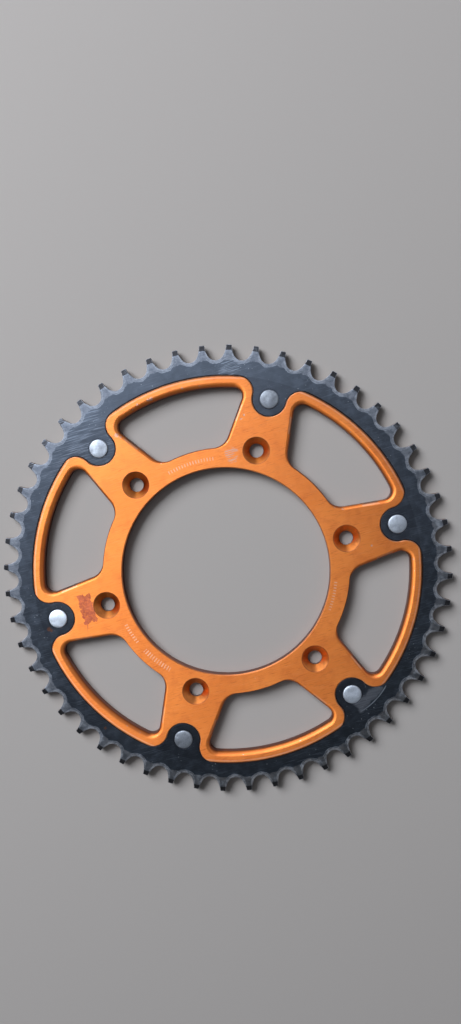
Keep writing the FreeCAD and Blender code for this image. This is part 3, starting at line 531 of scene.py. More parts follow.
# ----------------------------------------------------------------- materials
class Mat:
    """Small helper round a node tree."""

    def __init__(self, name):
        self.m = bpy.data.materials.new(name)
        self.m.use_nodes = True
        self.t = self.m.node_tree
        self.t.nodes.clear()
        self.out = self.t.nodes.new("ShaderNodeOutputMaterial")
        self.bsdf = self.t.nodes.new("ShaderNodeBsdfPrincipled")
        self.t.links.new(self.bsdf.outputs[0], self.out.inputs[0])
        self.co = self.t.nodes.new("ShaderNodeTexCoord").outputs["Object"]

    def link(self, a, b):
        self.t.links.new(a, b)

    def put(self, sock, val):
        if isinstance(val, bpy.types.NodeSocket):
            self.link(val, sock)
        else:
            sock.default_value = val

    def math(self, op, *a, clamp=False):
        n = self.t.nodes.new("ShaderNodeMath")
        n.operation = op
        n.use_clamp = clamp
        for i, v in enumerate(a):
            self.put(n.inputs[i], v)
        return n.outputs[0]

    def vec(self, op, *a):
        n = self.t.nodes.new("ShaderNodeVectorMath")
        n.operation = op
        for i, v in enumerate(a):
            self.put(n.inputs[i], v)
        return n.outputs["Value"] if op in ("LENGTH", "DOT_PRODUCT", "DISTANCE") else n.outputs[0]

    def mapping(self, co, loc=(0, 0, 0), rot=(0, 0, 0), scale=(1, 1, 1)):
        n = self.t.nodes.new("ShaderNodeMapping")
        self.link(co, n.inputs[0])
        n.inputs["Location"].default_value = loc
        n.inputs["Rotation"].default_value = rot
        n.inputs["Scale"].default_value = scale
        return n.outputs[0]

    def noise(self, co, scale, detail=2.0, rough=0.5, dist=0.0, color=False):
        n = self.t.nodes.new("ShaderNodeTexNoise")
        self.link(co, n.inputs["Vector"])
        n.inputs["Scale"].default_value = scale
        n.inputs["Detail"].default_value = detail
        n.inputs["Roughness"].default_value = rough
        n.inputs["Distortion"].default_value = dist
        return n.outputs["Color"] if color else n.outputs["Fac"]

    def voronoi(self, co, scale, feature="F1", rand=1.0):
        n = self.t.nodes.new("ShaderNodeTexVoronoi")
        n.feature = feature
        self.link(co, n.inputs["Vector"])
        n.inputs["Scale"].default_value = scale
        n.inputs["Randomness"].default_value = rand
        return n.outputs["Distance"]

    def range(self, v, a, b, c=0.0, d=1.0, smooth=True):
        n = self.t.nodes.new("ShaderNodeMapRange")
        n.interpolation_type = "SMOOTHSTEP" if smooth else "LINEAR"
        n.clamp = True
        self.link(v, n.inputs[0])
        for i, x in enumerate((a, b, c, d), start=1):
            self.put(n.inputs[i], x)
        return n.outputs[0]

    def mix(self, f, a, b):
        n = self.t.nodes.new("ShaderNodeMix")
        n.data_type = "RGBA"
        n.clamp_factor = True
        self.put(n.inputs[0], f)
        self.put(n.inputs[6], a if isinstance(a, bpy.types.NodeSocket) else (*a, 1.0))
        self.put(n.inputs[7], b if isinstance(b, bpy.types.NodeSocket) else (*b, 1.0))
        return n.outputs[2]

    def lerp(self, f, a, b):
        n = self.t.nodes.new("ShaderNodeMix")
        n.data_type = "FLOAT"
        n.clamp_factor = True
        self.put(n.inputs[0], f)
        self.put(n.inputs[2], a)
        self.put(n.inputs[3], b)
        return n.outputs[0]

    def bump(self, height, strength, distance, normal=None):
        n = self.t.nodes.new("ShaderNodeBump")
        n.inputs["Strength"].default_value = strength
        n.inputs["Distance"].default_value = distance
        self.link(height, n.inputs["Height"])
        if normal is not None:
            self.link(normal, n.inputs["Normal"])
        return n.outputs[0]

    def xyz(self, co):
        n = self.t.nodes.new("ShaderNodeSeparateXYZ")
        self.link(co, n.inputs[0])
        return n.outputs

    def normal(self):
        return self.t.nodes.new("ShaderNodeNewGeometry").outputs["Normal"]

    def set(self, **kw):
        for k, v in kw.items():
            self.put(self.bsdf.inputs[k.replace("_", " ")], v)


def srgb(r, g, b):
    def f(c):
        c /= 255.0
        return c / 12.92 if c <= 0.04045 else ((c + 0.055) / 1.055) ** 2.4
    return (f(r), f(g), f(b))


GRAIN = math.radians(-16.0)      # direction of the brushed grain in the row frame
GX, GY = (math.cos(GRAIN), math.sin(GRAIN), 0.0), (-math.sin(GRAIN), math.cos(GRAIN), 0.0)
LOBE_TH = math.acos((RIVET_AT ** 2 + LOBE_AT ** 2 - (SCALLOP + LOBE) ** 2) / (2 * RIVET_AT * LOBE_AT))


def fold(m, x, y, count, start=0.0):
    """Radius and the coordinates of the nearest of count equal sectors, its middle along +X."""
    r = m.math("SQRT", m.math("ADD", m.math("MULTIPLY", x, x), m.math("MULTIPLY", y, y)))
    a = m.math("SUBTRACT", m.math("ARCTAN2", y, x), start)
    step = 2 * math.pi / count
    k = m.math("ROUND", m.math("DIVIDE", a, step))
    a = m.math("SUBTRACT", a, m.math("MULTIPLY", k, step))
    return r, a, m.math("MULTIPLY", r, m.math("COSINE", a)), m.math("MULTIPLY", r, m.math("SINE", a))


def dist(m, x, y, cx, cy):
    dx, dy = m.math("SUBTRACT", x, cx), m.math("SUBTRACT", y, cy)
    return m.math("SQRT", m.math("ADD", m.math("MULTIPLY", dx, dx), m.math("MULTIPLY", dy, dy)))


def streaks(m, angle, length, width, detail=2.0, rough=0.5, shift=0.0):
    """Noise drawn out along a direction: length and width in millimetres."""
    return m.noise(m.mapping(m.co, loc=(shift, 0, 0), rot=(0, 0, -angle), scale=(1000.0 / length, 1000.0 / width, 300.0)),
                   1.0, detail, rough)


def patch(m, x, y, cx, cy, half_x, half_y, angle, soft, ragged):
    """Soft-edged rectangle; ragged is an extra distance in millimetres that roughens its outline."""
    dx, dy = m.math("SUBTRACT", x, cx), m.math("SUBTRACT", y, cy)
    c, s = math.cos(angle), math.sin(angle)
    px = m.math("ADD", m.math("MULTIPLY", dx, c), m.math("MULTIPLY", dy, s))
    py = m.math("SUBTRACT", m.math("MULTIPLY", dy, c), m.math("MULTIPLY", dx, s))
    ex = m.math("SUBTRACT", m.math("ABSOLUTE", px), half_x)
    ey = m.math("SUBTRACT", m.math("ABSOLUTE", py), half_y)
    d = m.math("ADD", m.math("MAXIMUM", ex, ey), ragged)
    return m.range(d, -soft, soft, 1.0, 0.0)


def both(m, *a):
    out = a[0]
    for b in a[1:]:
        out = m.math("MULTIPLY", out, b)
    return out


def either(m, *a):
    out = a[0]
    for b in a[1:]:
        out = m.math("MAXIMUM", out, b)
    return out


def carrier_material():
    m = Mat("orange_anodised")
    co = m.co
    x, y, z = m.xyz(m.mapping(co, scale=(1000, 1000, 1000)))
    r, a, lx, ly = fold(m, x, y, 6)
    nz = m.math("ABSOLUTE", m.xyz(m.normal())[2])
    flat = m.range(nz, 0.965, 0.995)
    wall = m.range(nz, 0.45, 0.2)
    slope = both(m, m.range(nz, 0.25, 0.4), m.range(nz, 0.975, 0.95))
    front = m.range(z, 3.4, 3.6)

    # colour: dye clouds, fine brushed lines, short dark streaks
    cloud = m.noise(co, 24.0, 3.0, 0.55)
    mott = m.noise(co, 170.0, 3.0, 0.6)
    fine = streaks(m, GRAIN, 30.0, 0.26, 2.0, 0.55)
    dash = streaks(m, GRAIN + 0.02, 6.5, 0.42, 2.0, 0.5, 7.3)
    pale = streaks(m, GRAIN - 0.03, 11.0, 0.36, 2.0, 0.5, 3.1)
    base = m.mix(m.range(cloud, 0.32, 0.68), (0.93, 0.236, 0.040), (0.99, 0.282, 0.051))
    base = m.mix(both(m, m.range(fine, 0.4, 0.66), flat, 0.25), base, (0.99, 0.35, 0.10))
    base = m.mix(both(m, m.range(dash, 0.56, 0.72), flat, 0.62), base, (0.66, 0.115, 0.024))
    base = m.mix(both(m, m.range(pale, 0.6, 0.74), flat, 0.4), base, (0.99, 0.41, 0.15))
    base = m.mix(both(m, m.range(mott, 0.46, 0.7), 0.34), base, (0.76, 0.165, 0.036))
    rough = m.math("ADD", m.range(fine, 0.25, 0.75, 0.39, 0.48), m.range(cloud, 0.3, 0.7, -0.02, 0.03))

    # broken edges of bore, rim and the scallops round the rivets; the bore and scallop chamfers are painted pale:
    # wear, and a painted highlight of the sky on the chamfers
    c1 = (LOBE_AT * math.cos(LOBE_TH), LOBE_AT * math.sin(LOBE_TH))
    d_lobe = dist(m, lx, m.math("ABSOLUTE", ly), c1[0], c1[1])
    near_ear = both(m, m.range(m.math("ABSOLUTE", a), LOBE_TH + 0.004, LOBE_TH + 0.006, 1.0, 0.0),
                    m.range(d_lobe, 8.1, 8.3), m.range(r, 90, 91))
    rim = either(m, m.range(r, 116.1, 116.25), m.range(r, 63.35, 63.25), near_ear)
    edge_n = m.noise(co, 240.0, 3.0, 0.6)
    bore = m.range(r, 63.35, 63.25)
    edge_wear_and_sheen = m.range(edge_n, 0.3, 0.62, 0.45, 1.0)
    # pale chamfers: wear with a painted sky highlight
    rub = both(m, either(m, m.math("MULTIPLY", bore, 0.45), near_ear), slope, edge_wear_and_sheen)
    base = m.mix(m.math("MULTIPLY", rub, 0.6), base, (0.90, 0.44, 0.25))
    # thin pale line just inside the rim: a painted highlight of the rim's rounded edge, broken up by wear noise
    line = both(m, flat, front, m.range(r, 115.05, 115.35), m.range(r, 115.85, 116.1, 1.0, 0.0), edge_wear_and_sheen)
    base = m.mix(m.math("MULTIPLY", line, 0.36), base, (0.86, 0.52, 0.37))
    # nicks and chips along the window edges
    win_edge = both(m, slope, m.math("SUBTRACT", 1.0, rim), m.range(z, 5.9, 6.7), m.range(r, 73.0, 74.0))
    nick = m.range(m.noise(co, 420.0, 2.0, 0.5), 0.66, 0.72)
    base = m.mix(both(m, nick, win_edge, 0.75), base, (0.62, 0.42, 0.33))
    chips = None
    for cx, cy, rad in ((-40.2, 96.6, 1.1), (-38.4, 94.8, 0.55), (-43.6, 92.6, 0.4), (-14.6, 111.6, 1.0), (-16.2, 111.3, 0.7),
                        (34.0, 85.6, 0.5), (36.2, 87.2, 0.35), (61.5, 98.6, 0.6), (-61.0, 57.0, 0.45), (88.0, -8.0, 0.35),
                        (-23.0, 110.7, 0.5), (5.2, 112.4, 0.45), (-69.5, -27.8, 0.5), (97.3, 31.5, 0.5)):
        c = m.range(m.math("ADD", dist(m, x, y, cx, cy), m.range(m.noise(co, 900.0, 2.0, 0.6), 0.2, 0.8, -0.45, 0.45)),
                    rad, rad + 0.22, 1.0, 0.0)
        chips = c if chips is None else m.math("MAXIMUM", chips, c)
    chips = both(m, chips, m.range(z, 5.4, 5.8))
    base = m.mix(m.math("MULTIPLY", chips, 0.6), base, (0.62, 0.42, 0.33))

    # dull reddish patch by the bolt hole at 180 degrees, with a short run below it
    rag = m.range(m.noise(co, 330.0, 3.0, 0.65), 0.25, 0.75, -1.4, 1.4)
    spot = patch(m, x, y, -87.1, 1.1, 3.7, 8.6, math.radians(1.5), 0.25, rag)
    run = patch(m, x, y, -90.1, -10.4, 0.22, 2.4, math.radians(-14), 0.18, m.math("MULTIPLY", rag, 0.2))
    tex = m.noise(co, 700.0, 3.0, 0.65)
    spot = both(m, spot, m.range(tex, 0.25, 0.62, 0.5, 1.0), m.range(z, 6.85, 6.95))
    spot = either(m, spot, both(m, run, flat, front, 0.6))
    base = m.mix(m.math("MULTIPLY", spot, 0.95), base, m.mix(m.range(mott, 0.35, 0.65), (0.36, 0.072, 0.04), (0.54, 0.125, 0.062)))
    rough = m.lerp(spot, rough, 0.56)

    # whitish smudge of short strokes, and faint scuffs elsewhere on the front
    stroke = streaks(m, math.radians(62), 7.0, 0.8, 2.0, 0.5, 1.7)
    smudge = both(m, m.range(m.math("ADD", dist(m, x, y, 23.6, 67.4), m.range(mott, 0.2, 0.8, -2.4, 2.4)), 2.6, 5.0, 1.0, 0.0),
                  m.range(stroke, 0.44, 0.62), flat, front)
    base = m.mix(m.math("MULTIPLY", smudge, 0.62), base, (0.66, 0.50, 0.42))
    rough = m.lerp(m.math("MULTIPLY", smudge, 0.8), rough, 0.6)
    scuff = both(m, m.range(streaks(m, math.radians(21), 16.0, 0.5, 3.0, 0.6, 4.4), 0.66, 0.78),
                 m.range(m.noise(co, 34.0, 2.0, 0.5), 0.5, 0.62), flat)
    base = m.mix(m.math("MULTIPLY", scuff, 0.4), base, (0.86, 0.50, 0.30))

    # plain radial index ticks, engraved lightly
    ang = m.math("ARCTAN2", y, x)
    teeth_t = m.math("ABSOLUTE", m.math("SUBTRACT", m.math("FRACT", m.math("MULTIPLY", ang, 180.0 / math.pi / 1.45)), 0.5))
    tick = m.range(teeth_t, 0.14, 0.22, 1.0, 0.0)
    marks = None
    for a0, a1, r0, r1 in ((80.0, 104.5, 67.3, 69.3), (-168.0, -156.5, 67.6, 69.5), (-151.5, -135.5, 67.0, 69.9),
                           (-36.0, -20.5, 65.2, 66.9), (-90.6, -89.4, 65.9, 67.3)):
        band = both(m, m.range(ang, math.radians(a0 - 0.1), math.radians(a0 + 0.1)),
                    m.range(ang, math.radians(a1 - 0.1), math.radians(a1 + 0.1), 1.0, 0.0),
                    m.range(r, r0 - 0.12, r0 + 0.12), m.range(r, r1 - 0.12, r1 + 0.12, 1.0, 0.0))
        marks = band if marks is None else m.math("MAXIMUM", marks, band)
    marks = both(m, marks, tick, flat, front)
    base = m.mix(both(m, marks, m.range(mott, 0.3, 0.6, 0.45, 0.8)), base, (0.92, 0.50, 0.31))
    rough = m.lerp(m.math("MULTIPLY", marks, 0.6), rough, 0.52)

    # bolt countersinks are darker, with dark patches and a dark lip, and rings in their relief; walls carry cutter
    # lines
    d_bolt = dist(m, lx, ly, BOLT_AT, 0.0)
    sink = both(m, m.range(d_bolt, 7.85, 8.05, 1.0, 0.0), m.math("SUBTRACT", 1.0, flat))
    grime_and_shade_noise = m.noise(co, 420.0, 3.0, 0.6)
    base = m.mix(both(m, sink, m.range(grime_and_shade_noise, 0.3, 0.7, 0.5, 0.95)), base, (0.66, 0.20, 0.032))
    base = m.mix(both(m, sink, m.range(grime_and_shade_noise, 0.62, 0.75), 0.35), base, (0.30, 0.10, 0.045))
    rough = m.lerp(sink, rough, m.range(grime_and_shade_noise, 0.3, 0.7, 0.28, 0.42))
    # steep walls painted darker red: painted shade
    base = m.mix(m.math("MULTIPLY", wall, 0.55), base, (0.66, 0.13, 0.04))
    lip = both(m, m.range(d_bolt, 7.8, 7.95), m.range(d_bolt, 8.15, 8.4, 1.0, 0.0), front)
    base = m.mix(m.math("MULTIPLY", lip, 0.55), base, (0.24, 0.06, 0.03))
    # steep faces are painted darker the steeper they are, a painted shade, and are rougher
    shade = m.math("ADD", m.range(nz, 0.0, 0.5, 0.35, 0.45, False), m.range(nz, 0.5, 0.95, 0.0, 0.55, False))
    base = m.mix(shade, (0.0, 0.0, 0.0), base)
    rough = m.lerp(both(m, m.range(nz, 0.95, 0.6), m.math("SUBTRACT", 1.0, sink)), rough, 0.54)
    # the outer edge next to the toothed ring and the scallop walls are painted dark brown: painted contact shade at
    # the seam, with dirt
    seam = either(m, m.range(r, 116.0, 116.5), both(m, near_ear, m.range(nz, 0.75, 0.5)))
    base = m.mix(both(m, seam, m.range(grime_and_shade_noise, 0.25, 0.65, 0.95, 0.7)), base, (0.13, 0.06, 0.034))
    # walls painted dark near the floor: painted contact shade, broken up by noise
    wall_foot_shade = both(m, wall, m.range(m.math("ADD", z, m.range(grime_and_shade_noise, 0.2, 0.8, -1.2, 1.2)), 0.2, 2.2, 1.0, 0.0))
    base = m.mix(m.math("MULTIPLY", wall_foot_shade, 0.55), base, (0.10, 0.045, 0.03))
    m.set(Base_Color=base, Metallic=1.0, Roughness=rough, Anisotropic=0.8, Coat_Weight=0.3, Coat_Roughness=0.3)
    t = m.t.nodes.new("ShaderNodeCombineXYZ")
    for i in range(3):
        t.inputs[i].default_value = GY[i]
    m.link(t.outputs[0], m.bsdf.inputs["Tangent"])

    # relief: brushed lines on the flats, cutter lines on walls and bevels, rings in the countersinks
    cut = m.noise(m.mapping(co, scale=(900, 900, 45)), 1.0, 2.0, 0.5)
    swirl = m.math("SINE", m.math("MULTIPLY", d_bolt, 13.0))
    h = m.math("ADD", both(m, fine, flat, 0.9), both(m, dash, flat, 0.5))
    h = m.math("ADD", h, both(m, cut, m.math("SUBTRACT", 1.0, flat), m.math("SUBTRACT", 1.0, sink), 1.1))
    h = m.math("ADD", h, both(m, swirl, sink, 0.22))
    h = m.math("ADD", h, both(m, tex, spot, 0.9))
    h = m.math("SUBTRACT", h, m.math("MULTIPLY", marks, 1.2))
    h = m.math("SUBTRACT", h, m.math("MULTIPLY", chips, 1.5))
    m.set(Normal=m.bump(h, 0.35, 0.00003))
    return m.m


def ring_material():
    m = Mat("black_coated_steel")
    co = m.co
    x, y, z = m.xyz(m.mapping(co, scale=(1000, 1000, 1000)))
    r, a, lx, ly = fold(m, x, y, TEETH, GAP0)
    nz = m.math("ABSOLUTE", m.xyz(m.normal())[2])
    wall = m.range(nz, 0.35, 0.15)
    tip_face = both(m, m.range(r, 131.95, 132.25), m.range(nz, 0.2, 0.35))
    chamfer = both(m, m.range(nz, 0.2, 0.3), m.range(nz, 0.86, 0.8), m.range(r, 123.5, 124.0))

    cloud = m.noise(co, 30.0, 4.0, 0.6)
    mott = m.noise(co, 190.0, 4.0, 0.62)
    grit = m.noise(co, 1500.0, 2.0, 0.6)
    up = math.radians(74)
    s1 = streaks(m, up, 14.0, 0.5, 3.0, 0.6)
    s2 = streaks(m, up - 0.35, 9.0, 0.4, 3.0, 0.6, 5.0)
    s3 = streaks(m, math.radians(10), 12.0, 0.4, 3.0, 0.6, 9.0)
    s4 = streaks(m, math.radians(-38), 22.0, 0.35, 2.0, 0.5, 2.0)
    base = m.mix(m.range(cloud, 0.3, 0.7), (0.044, 0.049, 0.058), (0.060, 0.066, 0.078))
    base = m.mix(m.math("MULTIPLY", m.range(mott, 0.42, 0.7), 0.35), base, (0.10, 0.112, 0.134))
    # painted light across the coating: lighter and bluer towards the upper left, partly dust, and darker towards the
    # lower right, a painted shade
    light_axis = m.math("ADD", m.math("MULTIPLY", x, -0.5 * GX[0] + 0.87 * GY[0]), m.math("MULTIPLY", y, -0.5 * GX[1] + 0.87 * GY[1]))
    base = m.mix(both(m, m.range(light_axis, -10.0, 120.0), m.range(cloud, 0.3, 0.7, 0.75, 1.0), 0.17), base, (0.115, 0.13, 0.157))
    base = m.mix(m.math("MULTIPLY", m.range(light_axis, -15.0, -110.0), 0.42), base, (0.018, 0.021, 0.023))
    rough = m.math("ADD", m.range(mott, 0.25, 0.75, 0.31, 0.41), m.range(grit, 0.3, 0.7, -0.02, 0.03))
    # fine rubbing marks, heavier where the face has been handled
    heavy = m.range(m.noise(co, 18.0, 2.0, 0.5), 0.4, 0.62)
    scr = either(m, m.range(s1, 0.56, 0.72), m.math("MULTIPLY", m.range(s2, 0.58, 0.72), 0.9),
                 m.math("MULTIPLY", m.range(s3, 0.62, 0.76), 0.7), m.math("MULTIPLY", m.range(s4, 0.66, 0.76), 0.8))
    scr = m.math("MULTIPLY", scr, m.lerp(heavy, 0.3, 1.0))
    base = m.mix(m.math("MULTIPLY", scr, 0.34), base, (0.24, 0.265, 0.31))
    # specks of dust
    speck = m.range(m.voronoi(co, 420.0), 0.16, 0.08)
    speck = both(m, speck, m.range(m.noise(co, 60.0, 2.0, 0.5), 0.48, 0.66))
    base = m.mix(m.math("MULTIPLY", speck, 0.5), base, (0.36, 0.37, 0.38))
    rough = m.lerp(m.math("MULTIPLY", speck, 0.7), rough, 0.7)
    metal = m.math("SUBTRACT", 1.0, m.math("MULTIPLY", speck, 0.6))

    # bare steel where the chain's side plates rub: round each roller and across the teeth
    wob = m.range(m.noise(co, 330.0, 3.0, 0.6), 0.2, 0.8, -0.38, 0.38)
    d = m.math("ADD", dist(m, lx, ly, PITCH_R, 0.0), wob)
    rj = m.math("ADD", r, m.math("MULTIPLY", wob, 1.6))
    zone = either(m, m.range(d, 7.35, 6.9), m.range(rj, 125.9, 126.5))
    side = m.range(r, 123.2, 123.6)
    worn_t = m.math("MULTIPLY", zone, side)
    left = m.range(m.noise(co, 420.0, 4.0, 0.68), 0.34, 0.6, 0.42, 1.0)
    worn = m.math("MULTIPLY", worn_t, left)
    band = m.range(d, 6.75, 6.3)
    # towards the lower right the worn steel is painted darker and browner, towards the upper left lighter and bluer:
    # painted shade and painted sky light across the teeth
    middle = m.mix(m.range(light_axis, -110.0, 110.0, 0.0, 1.0, False), (0.080, 0.074, 0.070), (0.182, 0.189, 0.213))
    rubbed = m.mix(m.range(light_axis, -110.0, 110.0, 0.0, 1.0, False), (0.205, 0.192, 0.184), (0.262, 0.267, 0.290))
    steel = m.mix(band, middle, rubbed)
    steel = m.mix(m.math("MULTIPLY", m.range(mott, 0.48, 0.72), 0.4), steel, (0.34, 0.345, 0.36))
    steel = m.mix(m.math("MULTIPLY", either(m, m.range(s3, 0.48, 0.66), m.range(s1, 0.52, 0.68)), 0.45), steel, (0.085, 0.088, 0.098))
    base = m.mix(worn, base, steel)
    rough = m.lerp(worn, rough, m.range(mott, 0.3, 0.7, 0.44, 0.56))
    metal = m.lerp(worn, metal, 0.78)
    # thin bright line where the wear ends
    lip = both(m, m.range(m.math("ABSOLUTE", m.math("SUBTRACT", d, 7.12)), 0.32, 0.1), side,
               m.range(r, 127.6, 126.6), m.range(mott, 0.3, 0.6, 0.3, 1.0))
    base = m.mix(m.math("MULTIPLY", lip, 0.4), base, (0.34, 0.35, 0.38))
    # the inner edge between the lobes of the carrier is painted near black: painted contact shade at the seam, with
    # dirt
    r6, a6, _, _ = fold(m, x, y, 6)
    inner = both(m, m.range(r6, 118.15, 117.35), m.range(m.math("ABSOLUTE", a6), LOBE_TH - 0.012, LOBE_TH + 0.004))
    base = m.mix(both(m, inner, m.range(mott, 0.25, 0.7, 0.95, 0.65)), base, (0.030, 0.017, 0.011))
    rough = m.lerp(inner, rough, 0.62)
    # the ears inside the carrier's notches are a little darker
    ear = both(m, m.range(r6, 117.2, 116.6), m.range(m.math("ABSOLUTE", a6), LOBE_TH + 0.004, LOBE_TH - 0.012))
    base = m.mix(m.math("MULTIPLY", ear, 0.25), base, (0.02, 0.02, 0.024))
    # tips keep their coating
    base = m.mix(m.math("MULTIPLY", tip_face, m.range(mott, 0.5, 0.75, 1.0, 0.6)), base, (0.028, 0.026, 0.027))
    rough = m.lerp(tip_face, rough, 0.42)
    # seats: brown film with rubbed steel in the middle
    rust_n = m.noise(co, 260.0, 4.0, 0.65)
    rust = m.mix(m.range(rust_n, 0.35, 0.65), (0.060, 0.036, 0.026), (0.17, 0.083, 0.045))
    seat = both(m, wall, m.range(r, 123.5, 124.0))
    base = m.mix(seat, base, rust)
    metal = m.lerp(seat, metal, 0.25)
    rough = m.lerp(seat, rough, 0.62)
    edge_n = m.range(m.noise(co, 380.0, 3.0, 0.6), 0.3, 0.6, 0.35, 1.0)
    base = m.mix(both(m, chamfer, edge_n, 0.9), base, (0.46, 0.46, 0.485))
    metal = m.lerp(both(m, chamfer, edge_n), metal, 0.9)

    # long curved scratch and the dull smear beside it, a rust spot, scuffs at the top
    dc = m.math("ABSOLUTE", m.math("SUBTRACT", dist(m, x, y, 44.4, -64.4), 40.6))
    along = both(m, m.range(x, 54.6, 56.2), m.range(x, 73.6, 74.4, 1.0, 0.0), m.range(y, -88.0, -90.0))
    scratch = both(m, m.range(dc, 0.42, 0.16), along, m.range(mott, 0.3, 0.6, 0.5, 1.0))
    base = m.mix(m.math("MULTIPLY", scratch, 0.75), base, (0.40, 0.42, 0.45))
    smear = patch(m, x, y, 62.0, -96.2, 9.5, 2.9, math.radians(31), 1.1, m.range(mott, 0.2, 0.8, -1.6, 1.6))
    base = m.mix(both(m, smear, m.range(s3, 0.3, 0.6, 0.35, 0.75)), base, (0.15, 0.15, 0.16))
    rough = m.lerp(m.math("MULTIPLY", smear, 0.7), rough, 0.55)
    rusty = None
    for cx, cy, rad in ((-113.3, -4.7, 0.9), (-112.2, -6.0, 0.5), (97.0, 92.8, 0.9), (-97.5, -72.5, 0.5), (-86.0, 96.0, 0.6)):
        c = m.range(m.math("ADD", dist(m, x, y, cx, cy), m.range(grit, 0.2, 0.8, -0.5, 0.5)), rad, rad + 0.7, 1.0, 0.0)
        rusty = c if rusty is None else m.math("MAXIMUM", rusty, c)
    base = m.mix(m.math("MULTIPLY", rusty, 0.6), base, (0.20, 0.075, 0.035))
    top = both(m, m.range(m.math("ADD", dist(m, x, y, 36.0, 117.5), m.range(mott, 0.2, 0.8, -5.0, 5.0)), 4.0, 9.0, 1.0, 0.0),
               m.range(s2, 0.45, 0.6))
    top2 = both(m, m.range(m.math("ADD", dist(m, x, y, -70.0, 101.0), m.range(mott, 0.2, 0.8, -9.0, 9.0)), 14.0, 34.0, 1.0, 0.0),
                m.range(s1, 0.46, 0.64))
    base = m.mix(m.math("MULTIPLY", either(m, top, m.math("MULTIPLY", top2, 0.7)), 0.5), base, (0.27, 0.29, 0.33))
    m.set(Base_Color=base, Metallic=metal, Roughness=rough)
    h = m.math("ADD", m.math("MULTIPLY", grit, 0.5), m.math("MULTIPLY", mott, 0.8))
    h = m.math("SUBTRACT", h, m.math("MULTIPLY", scr, 0.25))
    h = m.math("SUBTRACT", h, m.math("MULTIPLY", worn, 0.5))
    h = m.math("ADD", h, both(m, seat, rust_n, 0.8))
    m.set(Normal=m.bump(h, 0.3, 0.00004))
    return m.m


def rivet_material(k, tone, dark):
    m = Mat("rivet_steel_%d" % (k + 1))
    co = m.co
    a0 = k * math.pi / 3
    x, y, z = m.xyz(m.mapping(co, scale=(1000, 1000, 1000)))
    d = dist(m, x, y, RIVET_AT * math.cos(a0), RIVET_AT * math.sin(a0))
    patchy = m.noise(co, 210.0, 3.0, 0.6)
    pits = m.noise(co, 1300.0, 3.0, 0.65)
    rub = streaks(m, math.radians(35 + 40 * k), 5.0, 0.5, 3.0, 0.6, float(k))
    base = m.mix(m.range(patchy, 0.32, 0.68), tuple(c * tone for c in (0.93, 0.95, 0.98)), tuple(c * dark for c in (0.93, 0.94, 1.0)))
    base = m.mix(m.math("MULTIPLY", m.range(pits, 0.52, 0.66), 0.35), base, tuple(c * dark * 0.6 for c in (1.0, 0.98, 0.97)))
    base = m.mix(m.math("MULTIPLY", m.range(rub, 0.56, 0.7), 0.3), base, tuple(min(1.0, c * tone * 1.15) for c in (0.9, 0.92, 0.94)))
    skirt = m.range(d, 5.15, 5.5)
    base = m.mix(m.math("MULTIPLY", skirt, 0.45), base, (0.16, 0.16, 0.175))
    rough = m.math("ADD", m.range(patchy, 0.3, 0.7, 0.38, 0.5), m.range(pits, 0.3, 0.7, -0.04, 0.06))
    m.set(Base_Color=base, Metallic=1.0, Roughness=rough)
    h = m.math("ADD", m.math("MULTIPLY", pits, 0.7), patchy)
    h = m.math("ADD", h, m.math("MULTIPLY", rub, 0.4))
    m.set(Normal=m.bump(h, 0.4, 0.00006))
    return m.m


carrier.data.materials.append(carrier_material())
ring.data.materials.append(ring_material())
RIVET_TONES = ((0.53, 0.39), (0.32, 0.23), (0.54, 0.41), (0.96, 0.86), (0.35, 0.25), (0.66, 0.50))
for k, (piece, (tone, dark)) in enumerate(zip(rivets, RIVET_TONES)):
    piece.data.materials.append(rivet_material(k, tone, dark))

# --------------------------------------------------------------------- stage
bpy.ops.mesh.primitive_plane_add(size=30.0, location=(0, 0, -0.0003))
floor = bpy.context.object
floor.name = "floor"
fm = Mat("floor_plain")
fm.set(Base_Color=(0.422, 0.363, 0.315, 1.0), Roughness=0.95, Specular_IOR_Level=0.1)
floor.data.materials.append(fm.m)

# soft studio light: one broad softbox on the upper left, fading out to the right and to the front
world = bpy.data.worlds.new("studio")
bpy.context.scene.world = world
world.use_nodes = True
wt = world.node_tree
background = wt.nodes["Background"]


def world_math(op, *a):
    n = wt.nodes.new("ShaderNodeMath")
    n.operation = op
    for i, v in enumerate(a):
        if isinstance(v, bpy.types.NodeSocket):
            wt.links.new(v, n.inputs[i])
        else:
            n.inputs[i].default_value = v
    return n.outputs[0]


def world_dot(direction):
    n = wt.nodes.new("ShaderNodeVectorMath")
    n.operation = "DOT_PRODUCT"
    wt.links.new(sky_dir, n.inputs[0])
    n.inputs[1].default_value = direction
    return n.outputs["Value"]


def fade(v, centre, width):
    """Smooth step from 0 to 1, halfway at centre."""
    e = world_math("EXPONENT", world_math("DIVIDE", world_math("SUBTRACT", centre, v), width))
    return world_math("DIVIDE", 1.0, world_math("ADD", 1.0, e))


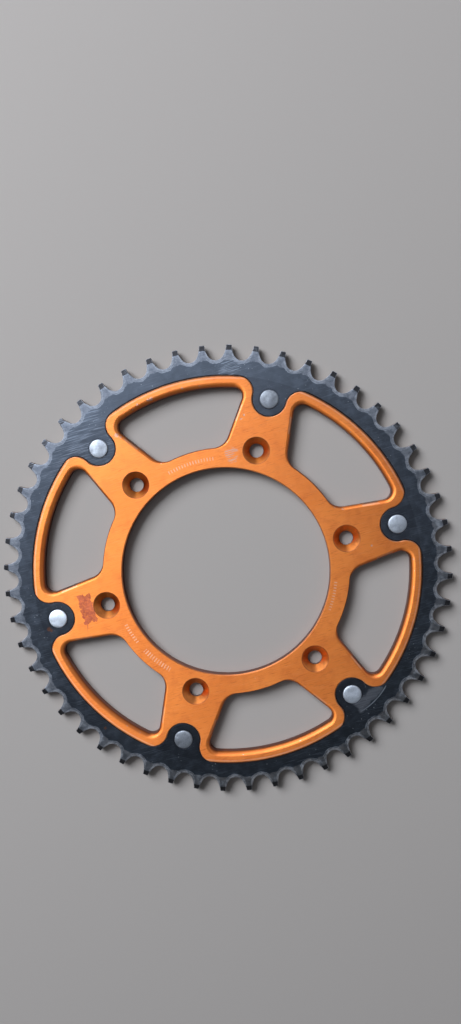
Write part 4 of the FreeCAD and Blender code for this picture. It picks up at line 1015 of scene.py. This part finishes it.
sky_dir = wt.nodes.new("ShaderNodeTexCoord").outputs["Generated"]
across, along = world_dot(GX), world_dot(GY)
level = world_math("MULTIPLY", fade(world_math("MULTIPLY", across, -1.0), 0.096, 0.104), fade(along, 0.047, 0.045))
# the softbox is weaker low down, so the steep faces and the views from the side aren't overlit
low = world_math("ADD", world_math("MULTIPLY", fade(world_dot((0.0, 0.0, 1.0)), 0.6, 0.07), 0.6), 0.4)
level = world_math("MULTIPLY", level, low)
side = world_math("MULTIPLY", fade(world_dot((math.cos(math.radians(30)), 0.5, 0.0)), 0.64, 0.045), 0.7)
level = world_math("ADD", world_math("MULTIPLY", level, 5.6), world_math("ADD", side, 0.2))
background.inputs[0].default_value = (0.88, 1.0, 1.17, 1.0)
wt.links.new(level, background.inputs[1])

# diffuse surfaces are lit by a soft key on the upper left and a broad fill from above
world.cycles_visibility.diffuse = False
for name, az, el, size, power in (("key", 120.0, 41.0, 1.15, 64.0), ("fill", 120.0, 80.0, 2.6, 10.0)):
    lamp = bpy.data.lights.new(name, "AREA")
    lamp.shape = "SQUARE"
    lamp.size = size
    lamp.energy = power
    lamp.color = (0.752, 0.855, 1.0)
    lamp_ob = bpy.data.objects.new(name, lamp)
    bpy.context.scene.collection.objects.link(lamp_ob)
    az, el = math.radians(az), math.radians(el)
    towards = Vector((math.cos(el) * math.cos(az), math.cos(el) * math.sin(az), math.sin(el)))
    lamp_ob.location = towards * 2.0
    lamp_ob.rotation_euler = towards.to_track_quat("Z", "Y").to_euler()
    lamp_ob.visible_glossy = False
    lamp_ob.visible_camera = False

# -------------------------------------------------------------------- camera
cam = bpy.data.cameras.new("camera")
cam.sensor_width = 36.0
cam.lens = 28.125
cam.clip_start = 0.01
cam_ob = bpy.data.objects.new("camera", cam)
bpy.context.scene.collection.objects.link(cam_ob)
CAM_AT = (0.038628, 0.056277, 0.483361)
cam_ob.matrix_world = Matrix((
    (0.960795, 0.271901, 0.054254, CAM_AT[0]),
    (-0.274446, 0.960466, 0.046730, CAM_AT[1]),
    (-0.039403, -0.059788, 0.997433, CAM_AT[2]),
    (0.0, 0.0, 0.0, 1.0)))
bpy.context.scene.camera = cam_ob
bpy.context.scene.view_settings.view_transform = "Standard"
